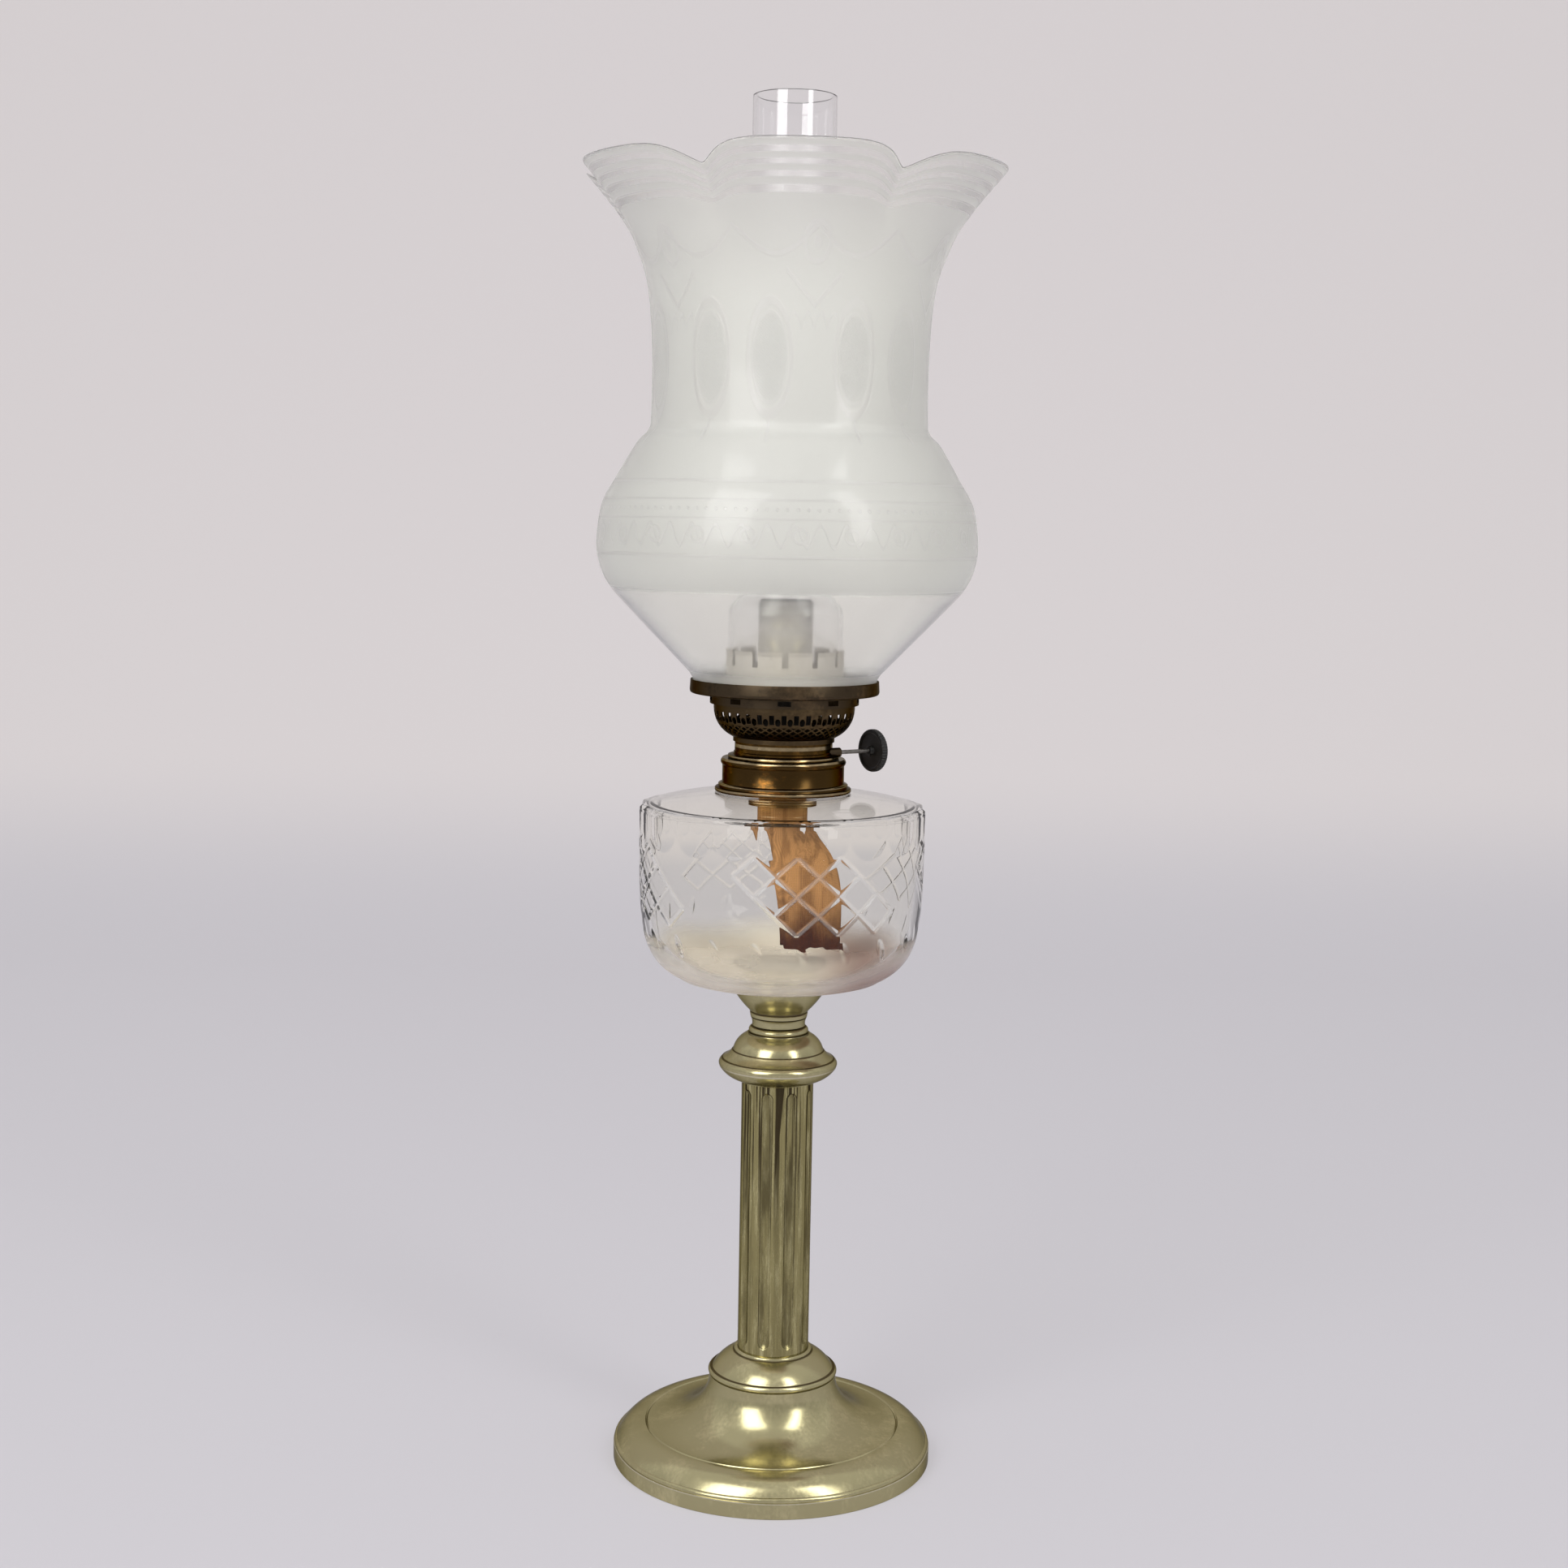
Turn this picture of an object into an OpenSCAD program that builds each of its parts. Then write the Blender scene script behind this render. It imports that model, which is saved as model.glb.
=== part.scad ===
// Column table lamp that burns kerosene: a brass foot and fluted column, a cut-glass font,
// a round-wick burner with a side winder, a straight chimney and a frilled tulip shade.
// The lamp stands on z = 0 with its axis on +Z, in millimetres.

/* [Foot and column] */
// Diameter of the round foot
foot_d = 151; // [130:1:170]
// Height of the upright band at the edge of the foot
foot_band_h = 7.5; // [5:0.5:10]
// Height of the thin lip between the band and the roll
foot_lip_h = 2; // [1:0.1:3]
// Width of the lip and the convex roll inside the band, measured along the radius
foot_roll_w = 15; // [11:0.5:18]
// Rise of the convex roll
foot_roll_h = 7.5; // [6:0.5:11]
// Height of the foot shell up to its throat
foot_h = 40.6; // [36:0.2:48]
// Diameter of the throat where the foot meets the column socket
throat_d = 60.4; // [52:0.2:66]
// Thickness of the spun sheet brass
sheet_t = 1.2; // [0.8:0.1:1.6]
// Height of the domed socket that carries the column
socket_h = 13; // [11:0.5:16]
// Diameter of the fluted column
column_d = 33.8; // [28:0.2:38]
// Length of the column that shows between the socket and the capital
column_h = 130.4; // [90:0.2:170]
// Wall of the column tube
column_wall = 3; // [2.4:0.1:4]
// Number of flutes round the column
flute_count = 9; // [8:1:12]
// Width of a flute at the surface
flute_w = 6.4; // [5:0.1:8]
// Depth of a flute
flute_depth = 1.3; // [0.6:0.1:1.6]
// Plain length left above and below the flutes
flute_stop = 3.4; // [2:0.2:8]
// Depth of the recess that the column stands in at each end
column_seat = 2.5; // [1.5:0.5:4]
// Diameter of the tie rod that holds the stand together
rod_d = 8; // [6:0.5:10]

/* [Capital and font cup] */
// Height of the capital
capital_h = 22; // [19:0.5:26]
// Diameter of the capital's flange
capital_d = 55.8; // [50:0.2:62]
// Height of the turned neck above the capital
spool_h = 11; // [9:0.5:14]
// Diameter of the neck at its narrowest
spool_d = 24.8; // [22:0.2:27]
// Height of the cup that holds the font
cup_h = 12.5; // [10:0.5:16]
// Diameter of the cup's rim
cup_d = 46; // [42:0.5:54]

/* [Glass font] */
// Diameter of the font
font_d = 133.4; // [110:0.2:145]
// Height of the font from its underside to the edge of its shoulder
font_h = 84.5; // [72:0.5:100]
// Diameter of the flat underside of the font
font_foot_d = 95.2; // [80:0.2:104]
// Thickness of the font's side wall
font_wall = 4.5; // [3.5:0.1:6]
// Thickness of the font's bottom
font_floor = 6.5; // [5:0.5:8]
// Rise of the shoulder from its edge up to the collar
shoulder_rise = 6.3; // [4:0.1:8]
// Inside diameter of the font's neck
neck_d = 43.2; // [40:0.2:45]
// Number of thumb cuts round the shoulder
thumb_count = 20; // [12:1:24]
// Depth of a thumb cut
thumb_depth = 1.1; // [0.4:0.1:1.8]

/* [Collar and burner] */
// Outside diameter of the collar's upright wall
collar_d = 56.6; // [56:0.2:60]
// Height of the collar from its flange to its rolled rim
collar_h = 15.4; // [14:0.2:18]
// Diameter of the burner drum
drum_d = 45.4; // [44:0.2:46]
// Height of the drum above the collar
drum_h = 9.6; // [9:0.2:12]
// Thickness of the burner's sheet brass
burner_sheet = 0.8; // [0.6:0.1:1]
// Rise of the perforated basket
basket_h = 15.4; // [12:0.2:18]
// Diameter of the basket's rim
basket_d = 65.4; // [60:0.2:68]
// Number of slots, and of holes, round the basket
basket_holes = 36; // [24:2:40]
// Height of the notched crown between basket and shade ring
crown_h = 4.6; // [3.6:0.2:6]
// Number of notches in the crown
crown_notches = 9; // [6:1:12]
// Outside diameter of the shade ring
ring_d = 87.8; // [80:0.2:92]
// Height of the shade ring's upturned rim
ring_h = 6.4; // [5:0.2:8]
// Outside diameter of the wick tube, a fourteen-line burner
wick_tube_d = 25; // [24:0.2:26]
// Height of the wick tube's mouth above the shade ring's floor
wick_tube_rise = 43; // [36:0.5:50]
// Height of the spring fingers that hold the chimney
finger_h = 20; // [16:0.5:24]
// Height of the plain band that the spring fingers grow from
finger_root = 13; // [6:0.5:15]
// Number of spring fingers
finger_count = 12; // [8:1:16]

/* [Winder] */
// Direction of the winder shaft, turned back from the lamp's right-hand side
winder_angle = 34.5; // [0:0.5:60]
// Diameter of the winder shaft
shaft_d = 1.9; // [1.6:0.1:2.4]
// Reach of the winder shaft from the middle of the burner to the knob
shaft_reach = 38.5; // [34:0.5:48]
// Diameter of the winder knob
knob_d = 20; // [16:0.5:24]
// Thickness of the winder knob
knob_t = 2.2; // [1.6:0.1:3]
// Radius of the spur wheels that climb the wick
spur_r = 4; // [3.4:0.1:4.2]

/* [Chimney, shade and wick] */
// Outside diameter of the chimney's base
chimney_base_d = 52.4; // [50:0.2:53]
// Outside diameter of the chimney at its top
chimney_top_d = 37.8; // [34:0.2:42]
// Height of the chimney
chimney_h = 268; // [230:1:290]
// Height of the chimney's wide base
chimney_base_h = 37; // [30:0.5:44]
// Wall of the chimney glass
chimney_wall = 1.6; // [1.2:0.1:2.2]
// Height of the shade
shade_h = 235; // [200:1:260]
// Diameter of the shade's bulge
shade_bulge_d = 174.4; // [150:0.2:190]
// Diameter of the shade's waist
shade_waist_d = 126; // [110:0.2:140]
// Diameter of the shade across its frilled rim
shade_rim_d = 195; // [170:0.5:210]
// Wall of the shade glass
shade_wall = 2.2; // [1.8:0.1:3]
// Number of lobes round the frilled rim
lobe_count = 6; // [4:1:8]
// How far each fold of the rim is pushed in
fold_in = 13; // [6:0.5:16]
// How far each fold of the rim dips
fold_dip = 8.5; // [4:0.5:12]
// Thickness of the cotton wick
wick_t = 2; // [1.4:0.1:2.4]
// Length of wick that hangs below the burner
wick_hang = 66; // [40:1:72]

/* [Hidden] */
// Clearance of a piece that rests on or slides past its neighbour
rest_gap = 0.3;
// Radial clearance of a shaft in its bearing
shaft_gap = 0.05;
// Radial clearance of the tie rod in the pieces it threads
rod_gap = 0.25;

// Heights of the stand, from the table up
socket_z = foot_h;
column_z = socket_z + socket_h;
capital_z = column_z + column_h;
spool_z = capital_z + capital_h;
cup_z = spool_z + spool_h;
font_z = cup_z + cup_h;
shoulder_z = font_z + font_h;
collar_z = shoulder_z + shoulder_rise + rest_gap;
collar_top = collar_z + collar_h;

// Heights of the burner
drum_z = collar_top + rest_gap;
drum_top = drum_z + drum_h;
basket_top = drum_top + basket_h;
ring_z = basket_top + crown_h;
seat_z = ring_z + burner_sheet;
tube_top = seat_z + wick_tube_rise;
shaft_z = drum_z + 2.9;

// Radii that several pieces share
foot_r = foot_d / 2;
throat_r = throat_d / 2;
column_r = column_d / 2;
rod_hole_r = rod_d / 2 + rod_gap;
groove_r = foot_r - foot_roll_w;
roll_z = foot_band_h + foot_lip_h + 0.1;
groove_z = roll_z + foot_roll_h;
font_r = font_d / 2;
font_foot_r = font_foot_d / 2;
peg_r = 13;
peg_h = 7.5;
neck_r = neck_d / 2;
neck_wall = 3.6;
neck_top = collar_z + 3.6;
collar_r = collar_d / 2;
collar_wall = 1;
collar_bore = collar_r - collar_wall;
drum_r = drum_d / 2;
spigot_r = drum_r + 0.5;
lip_r = spigot_r + 0.55;
lip_t = 1.2;
basket_r = basket_d / 2;
ring_r = ring_d / 2;
tube_r = wick_tube_d / 2;
tube_wall = 0.5;
guide_r = tube_r + 3.3;
guide_drop = 12;
guide_z = collar_z + 5.4 - guide_drop;
floor_z = collar_z + 5.4;
wick_out_r = tube_r - tube_wall - rest_gap;
wick_in_r = wick_out_r - wick_t;
air_r = wick_in_r - rest_gap;
air_wall = 0.6;
duct_w = 10;
duct_h = 14;
duct_z = drum_top + 4.4;
shaft_r = shaft_d / 2;
spur_gap = 0.5;
shaft_off = wick_out_r + spur_gap + spur_r;
ear_x = 8;
ear_t = 1.2;
chimney_r = chimney_base_d / 2;
holder_r = chimney_r + 0.4;
chimney_z = seat_z + rest_gap;
shade_z = seat_z + rest_gap;
shade_foot_r = ring_r - burner_sheet - 0.4;

// Bayonet: two lugs on the drum turn under the collar's lip
lug_w = 8;
lug_t = 2;
lug_reach = 2.4;
notch_w = lug_w + 1.4;
notch_turn = 40;

round_fn = 96;
small_fn = 48;

// Points from p to q that bow to the right of the line by sag
function bow(p, q, sag, n = 8) = let (
    d = q - p,
    right = [d[1], -d[0]] / norm(d)
) [for (i = [0 : n]) let (t = i / n) p + t * d + 4 * sag * t * (1 - t) * right];

// Points on an ellipse round c, from angle a to angle b
function ellipse_arc(c, rx, rz, a, b, n = 10) =
    [for (i = [0 : n]) let (t = a + (b - a) * i / n) c + [rx * cos(t), rz * sin(t)]];

// Smooth curve through a list of points, n steps a span
function knot(p, i) = p[max(0, min(len(p) - 1, i))];
function smooth(p, n = 4) = [
    for (i = [0 : len(p) - 2], j = [0 : n - 1])
        let (t = j / n, a = knot(p, i - 1), b = knot(p, i), c = knot(p, i + 1), d = knot(p, i + 2))
            b + t * (c - a) / 2 + t * t * (a - 2.5 * b + 2 * c - d / 2)
                + t * t * t * (1.5 * (b - c) + (d - a) / 2),
    p[len(p) - 1]
];

function reverse(p) = [for (i = [len(p) - 1 : -1 : 0]) p[i]];
function lift(p, z) = [for (q = p) q + [0, z]];
function ramp(x, a, b) = let (t = max(0, min(1, (x - a) / (b - a)))) t * t * (3 - 2 * t);

// A turned piece from a half outline of radius and height
module turned(outline, z = 0) {
    translate([0, 0, z])
        rotate_extrude($fn = round_fn) polygon(outline);
}

// A plain ring
module ring(r_out, r_in, h, z = 0) {
    translate([0, 0, z])
        difference() {
            cylinder(h = h, r = r_out, $fn = round_fn);
            translate([0, 0, -1]) cylinder(h = h + 2, r = r_in, $fn = round_fn);
        }
}

// Children repeated round the axis
module around(count, first = 0) {
    for (i = [0 : count - 1])
        rotate([0, 0, first + i * 360 / count]) children();
}

// Children placed with their Z axis along the winder shaft, x along it from the middle of the burner
module along_shaft(x) {
    rotate([0, 0, winder_angle])
        translate([x, -shaft_off, shaft_z])
            rotate([0, 90, 0]) children();
}

// Foot: spun shell with an upright band, a thin lip, a convex roll, a scored groove and a concave sweep
module foot_shell() {
    sweep_r = groove_r - 1.2;
    roll_r = foot_r - 1.6;
    outside = concat(
        [[foot_r, 0], [foot_r, foot_band_h]],
        bow([foot_r - 0.4, foot_band_h + 0.1], [foot_r - 1.1, foot_band_h + foot_lip_h], 0.4, 5),
        bow([roll_r, roll_z], [groove_r, groove_z], 2.2),
        [[groove_r - 0.6, groove_z - 0.6]],
        ellipse_arc(
            [sweep_r, foot_h - sheet_t], sweep_r - throat_r,
            foot_h - sheet_t - groove_z, 270, 180, 14
        ),
        [[throat_r, foot_h], [rod_hole_r, foot_h]]
    );
    inside = concat(
        [[foot_r - sheet_t, 0], [foot_r - sheet_t, foot_band_h - sheet_t / 2]],
        bow(
            [roll_r - sheet_t, roll_z - sheet_t * 0.7],
            [groove_r - 0.6, groove_z - sheet_t - 0.6], 2
        ),
        ellipse_arc(
            [sweep_r, foot_h - sheet_t], sweep_r - throat_r + sheet_t,
            foot_h - groove_z, 264, 180, 14
        ),
        [[rod_hole_r, foot_h - sheet_t]]
    );
    color("darkkhaki") turned(concat(outside, reverse(inside)));
}

// Cast weight inside the foot, with a counterbore for the nut under it
weight_r = groove_r - 3;
weight_z = 1.2;
weight_top = groove_z - sheet_t - 2;
weight_boss_r = throat_r - sheet_t - 5;
nut_pocket_r = rod_d * 1.75;
washer_t = 1.6;
nut_h = rod_d * 0.8;
pocket_z = weight_z + nut_h + washer_t + 1.2;
module foot_weight() {
    color("dimgray") turned([
        [rod_hole_r, pocket_z], [nut_pocket_r, pocket_z], [nut_pocket_r, weight_z],
        [weight_r, weight_z], [weight_r, weight_top - 3], [weight_r - 3, weight_top],
        [weight_boss_r + 4, weight_top], [weight_boss_r, weight_top + 6],
        [weight_boss_r, foot_h - sheet_t], [rod_hole_r, foot_h - sheet_t]
    ]);
}

rod_bottom = pocket_z - washer_t - nut_h - 0.8;
rod_top = cup_z + 4;
module tie_rod() {
    color("silver")
        translate([0, 0, rod_bottom]) cylinder(h = rod_top - rod_bottom, r = rod_d / 2, $fn = small_fn);
}

module tie_rod_nut() {
    color("silver")
        translate([0, 0, pocket_z - washer_t - nut_h])
            difference() {
                cylinder(h = nut_h, r = rod_d * 0.92, $fn = 6);
                translate([0, 0, -1]) cylinder(h = nut_h + 2, r = rod_d / 2, $fn = small_fn);
            }
}

module tie_rod_washer() {
    color("silver") ring(rod_d * 1.25, rod_hole_r, washer_t, pocket_z - washer_t);
}

// Domed socket with a bead at its foot and a rolled ring round the column
module column_socket() {
    bead = 0.8;
    outline = concat(
        [[rod_hole_r, 0]],
        bow([throat_r - 0.2, 0], [throat_r - 0.4, 3], bead, 6),
        bow([throat_r - 1.6, 3.3], [column_r + 2, socket_h - 1.8], 1, 8),
        bow([column_r + 1.6, socket_h - 1.6], [column_r + 0.6, socket_h], 0.5, 5),
        [
            [column_r + 0.05, socket_h], [column_r + 0.05, socket_h - column_seat],
            [rod_hole_r, socket_h - column_seat]
        ]
    );
    color("darkkhaki") turned(outline, socket_z);
}

// Column: a tube with round-ended flutes
flute_r = (flute_w * flute_w / 4 + flute_depth * flute_depth) / (2 * flute_depth);
flute_turn = -106;
module column() {
    bottom = column_z - column_seat;
    length = column_h + 2 * column_seat;
    flute_reach = flute_w / 2;
    low = column_z + flute_stop + flute_reach;
    high = capital_z - flute_stop - flute_reach;
    color("darkkhaki")
        difference() {
            ring(column_r, column_r - column_wall, length, bottom);
            around(flute_count, flute_turn)
                translate([column_r - flute_depth + flute_r, 0, low]) {
                    cylinder(h = high - low, r = flute_r, $fn = small_fn);
                    sphere(r = flute_r, $fn = small_fn);
                    translate([0, 0, high - low]) sphere(r = flute_r, $fn = small_fn);
                }
        }
}

// Capital: a wide rolled flange under a round knop
module capital() {
    r = capital_d / 2;
    edge = 8;
    knop_z = 14.2;
    knop_r = r - 6.6;
    outline = concat(
        [
            [rod_hole_r, column_seat], [column_r + 0.05, column_seat], [column_r + 0.05, 0],
            [column_r + 2, 0]
        ],
        bow([column_r + 2.8, 0.5], [r - 0.4, edge - 1.8], 0.9, 6),
        bow([r - 0.2, edge - 1.2], [r - 0.9, edge + 1.6], 0.5, 4),
        bow([r - 1.3, edge + 2.1], [knop_r + 0.5, knop_z - 0.3], -0.5, 6),
        bow([knop_r, knop_z], [spool_d / 2 + 3, capital_h - 0.4], 1.1, 8),
        [[spool_d / 2 + 2.6, capital_h], [rod_hole_r, capital_h]]
    );
    color("darkkhaki") turned(outline, capital_z);
}

// Turned neck with a bead at its foot and two scored rings near its top
module neck_spool() {
    r = spool_d / 2;
    top = spool_h;
    outline = concat(
        [[rod_hole_r, 0], [r + 1.9, 0]],
        bow([r + 1.2, 0.5], [r + 0.8, 3.2], 0.6, 6),
        [[r - 0.3, 3.6]],
        bow([r + 0.1, 4], [r + 0.7, top - 3.4], -0.3, 5),
        [
            [r + 0.4, top - 3.1], [r + 0.9, top - 2.8], [r + 1.2, top - 1.2],
            [r + 0.9, top - 0.8], [r + 1.2, top - 0.5], [r + 1.3, top], [rod_hole_r, top]
        ]
    );
    color("darkkhaki") turned(outline, spool_z);
}

// Cup under the font, screwed on the tie rod
cup_floor = 6;
cup_wall = 1.6;
cup_bore_r = spool_d / 2 - 1;
module font_cup() {
    r = cup_d / 2;
    outline = concat(
        [[rod_d / 2, 0], [spool_d / 2 + 1.4, 0]],
        bow([spool_d / 2 + 1.8, 0.5], [r, cup_h], 0.6, 8),
        bow([r - cup_wall, cup_h], [cup_bore_r, cup_floor], -0.3, 6),
        [[rod_d / 2, cup_floor]]
    );
    color("darkkhaki") turned(outline, cup_z);
}

// Plaster that beds the font's peg in the cup
module cup_plaster() {
    r = cup_d / 2 - cup_wall;
    outline = concat(
        [[0, cup_floor], [cup_bore_r, cup_floor]],
        reverse(bow([r, cup_h], [cup_bore_r, cup_floor], -0.3, 6)),
        [[peg_r, cup_h], [peg_r, cup_h - peg_h + 2], [0, cup_h - peg_h + 2]]
    );
    color("gainsboro") turned(outline, cup_z);
}

// Font: thick blown glass with a peg below, a sloping shoulder and a short neck
font_lip = 1.6;
function font_outside() = let (low = 0.24 * font_h, mid = 0.6 * font_h) concat(
    [[0, 2 - peg_h], [peg_r, 2 - peg_h], [peg_r, 0]],
    bow([cup_d / 2, 0], [font_foot_r, 4], 1, 5),
    bow([font_foot_r + 0.3, 4.4], [font_r - 3, 4 + low], 3.3, 10),
    bow([font_r - 3, 4 + low], [font_r - 0.6, mid], 0.6, 6),
    [[font_r, font_h - font_lip]],
    bow([font_r, font_h - font_lip], [font_r - font_lip, font_h + 0.3], 0.5, 4),
    bow([font_r - font_lip - 0.5, font_h + 0.4], [collar_r + 3.4, font_h + shoulder_rise], 0.8, 6),
    [[neck_r + neck_wall, font_h + shoulder_rise + 0.2], [neck_r + neck_wall, neck_top - font_z]]
);
function font_inside() = let (low = 0.24 * font_h, mid = 0.6 * font_h, roof = font_h - font_wall) concat(
    [[0, font_floor], [font_foot_r - 6, font_floor + 1]],
    bow([font_foot_r - 5, font_floor + 1.2], [font_r - 3 - font_wall, 6 + low], 3, 8),
    [[font_r - 0.6 - font_wall, mid], [font_r - font_wall, roof - 1.5]],
    bow([font_r - font_wall - 0.4, roof - 0.6], [font_r - font_wall - 2.4, roof + 0.4], 0.4, 4),
    [[neck_r + 3, roof + shoulder_rise], [neck_r, roof + shoulder_rise + 2], [neck_r, neck_top - font_z]]
);
module font() {
    thumb_w = 2 * font_r * sin(180 / thumb_count);
    thumb_r = (thumb_w * thumb_w / 4 + thumb_depth * thumb_depth) / (2 * thumb_depth);
    color("mintcream", 0.4)
        difference() {
            turned(concat(font_outside(), reverse(font_inside())), font_z);
            around(thumb_count)
                translate([font_r - thumb_depth + thumb_r, 0, shoulder_z - 6.5])
                    sphere(r = thumb_r, $fn = small_fn);
        }
}

// Plaster between the glass neck and the collar
module collar_plaster() {
    color("gainsboro")
        ring(collar_bore, neck_r + neck_wall, neck_top - collar_z - 0.4, collar_z + 0.4);
}

// Collar with a stepped flange, a rolled rim and a lip cut for the bayonet lugs
module font_collar() {
    r = collar_r;
    outline = concat(
        [
            [collar_bore, 0], [r + 3.4, 0], [r + 3.4, 1.8], [r + 1.8, 2.1],
            [r + 1.8, 3.7], [r + 0.1, 4.1], [r, 4.4]
        ],
        bow([r, collar_h - 3.2], [r, collar_h], 0.8, 8),
        [[lip_r, collar_h], [lip_r, collar_h - lip_t], [collar_bore, collar_h - lip_t]]
    );
    color("peru")
        difference() {
            turned(outline, collar_z);
            around(2, notch_turn)
                translate([0, -notch_w / 2, collar_top - lip_t - 1])
                    cube([spigot_r + lug_reach + 0.6, notch_w, lip_t + 2]);
        }
}

// Burner drum: a spigot inside the collar, a bead that sits on the rim, and the upright drum
module burner_drum() {
    s = burner_sheet;
    below = drum_z - floor_z;
    outline = [
        [spigot_r - s, -below], [spigot_r, -below], [spigot_r, 0],
        [drum_r + 3, 0], [drum_r + 3.2, 0.6], [drum_r + 3, 1.2], [drum_r + 0.9, 1.5],
        [drum_r + 0.4, 1.9], [drum_r + 0.4, 2.7], [drum_r, 3.1],
        [drum_r, drum_h], [drum_r - s, drum_h], [drum_r - s, 1.2], [spigot_r - s, 0.4]
    ];
    lug_z = collar_top - lip_t - 0.4 - lug_t;
    color("saddlebrown")
        difference() {
            union() {
                turned(outline, drum_z);
                intersection() {
                    ring(spigot_r + lug_reach, spigot_r - s / 2, lug_t, lug_z);
                    around(2) translate([0, -lug_w / 2, lug_z - 1]) cube([spigot_r + 9, lug_w, lug_t + 2]);
                }
            }
            along_shaft(sleeve_x - 1) cylinder(h = sleeve_len + 2, r = sleeve_r, $fn = small_fn);
        }
}

// Plate that closes the drum round the wick guide
module drum_floor() {
    color("saddlebrown") ring(spigot_r - burner_sheet, guide_r, 1, floor_z);
}

// Sleeve that leads the wick up from the font into the wick tube
module wick_guide() {
    color("rosybrown") turned([
        [guide_r - 0.6, 0], [guide_r, 0], [guide_r, guide_drop + 1.6], [tube_r, guide_drop + 1.6],
        [tube_r, guide_drop + 1], [guide_r - 0.6, guide_drop + 1]
    ], guide_z);
}

// Outer wick tube, with a slot for the spur wheels in front and a window for the air duct behind
module wick_tube() {
    bottom = floor_z - 2;
    slot_w = 11;
    color("gray")
        difference() {
            ring(tube_r, tube_r - tube_wall, tube_top - bottom, bottom);
            rotate([0, 0, winder_angle]) {
                translate([-slot_w / 2, -tube_r - 1, shaft_z - spur_r - 0.6])
                    cube([slot_w, tube_r, 2 * spur_r + 1.2]);
                translate([-duct_w / 2, 0, duct_z])
                    cube([duct_w, tube_r + 1, duct_h]);
            }
        }
}

// Inner air tube, fed by a duct that opens through the wick tube's window
module air_tube() {
    bottom = duct_z - 2;
    top = tube_top - 1;
    inner = air_r - air_wall;
    color("gray")
        difference() {
            union() {
                translate([0, 0, bottom]) cylinder(h = top - bottom, r = air_r, $fn = round_fn);
                rotate([0, 0, winder_angle])
                    translate([-duct_w / 2, 0, duct_z]) cube([duct_w, tube_r + 1.5, duct_h]);
            }
            translate([0, 0, bottom + air_wall]) cylinder(h = top - bottom, r = inner, $fn = round_fn);
            rotate([0, 0, winder_angle])
                translate([air_wall - duct_w / 2, 0, duct_z + air_wall])
                    cube([duct_w - 2 * air_wall, tube_r + 3, duct_h - 2 * air_wall]);
        }
}

// Perforated bowl that lets the air in, with slots above and round holes below
module basket() {
    s = burner_sheet;
    foot = drum_r + 1;
    slot_w = 2 * PI * basket_r / basket_holes * 0.4;
    outline = concat(
        [[drum_r, -2], [drum_r + s, -2], [drum_r + s, 0], [foot + 0.4, 0.2]],
        bow([foot + 0.8, 0.4], [basket_r, basket_h - 2], 2.2, 8),
        [[basket_r, basket_h], [basket_r - s, basket_h]],
        reverse(bow([foot + 0.6, 1.3], [basket_r - s, basket_h - 2], 2.2, 8)),
        [[drum_r, 1]]
    );
    color("saddlebrown")
        difference() {
            turned(outline, drum_top);
            around(basket_holes) {
                translate([basket_r - 4, -slot_w / 2, drum_top + basket_h * 0.52])
                    cube([9, slot_w, basket_h * 0.28]);
                rotate([0, 0, 180 / basket_holes])
                    translate([drum_r + 2, 0, drum_top + basket_h * 0.34])
                        rotate([0, 62, 0]) cylinder(h = 12, r = slot_w * 0.55, $fn = small_fn);
            }
        }
}

// Notched crown between the basket and the shade ring, one notch facing the front
crown_turn = -90;
module gallery_crown() {
    r = basket_r + 1.8;
    color("saddlebrown")
        difference() {
            union() {
                ring(r, r - burner_sheet, crown_h, basket_top);
                ring(r, basket_r - burner_sheet, burner_sheet, basket_top);
            }
            around(crown_notches, crown_turn)
                translate([basket_r - 2, -3, basket_top + burner_sheet + 0.4])
                    cube([8, 6, crown_h - burner_sheet - 1.4]);
        }
}

// Shade ring: a flat floor that the chimney and shade stand on, and an upturned rim
module shade_ring() {
    s = burner_sheet;
    color("saddlebrown") turned([
        [chimney_r - 3.4, 0], [ring_r - 1.2, 0], [ring_r - 0.3, 0.4], [ring_r, 1.4], [ring_r - 0.3, ring_h],
        [ring_r - s, ring_h], [ring_r - s - 0.1, s], [chimney_r - 3.4, s]
    ], ring_z);
}

// Ring of spring fingers round the chimney's base
module chimney_holder() {
    slot_share = 0.2;
    finger_gap = 2 * PI * holder_r / finger_count * slot_share;
    color("rosybrown")
        difference() {
            turned([
                [holder_r, 0], [holder_r + 4.6, 0], [holder_r + 4.6, burner_sheet],
                [holder_r + 0.5, burner_sheet], [holder_r + 0.5, finger_h - 2],
                [holder_r + 1, finger_h], [holder_r + 0.5, finger_h], [holder_r, finger_h - 2]
            ], seat_z);
            around(finger_count)
                translate([holder_r - 3, -finger_gap / 2, seat_z + finger_root])
                    cube([8, finger_gap, finger_h]);
        }
}

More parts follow.
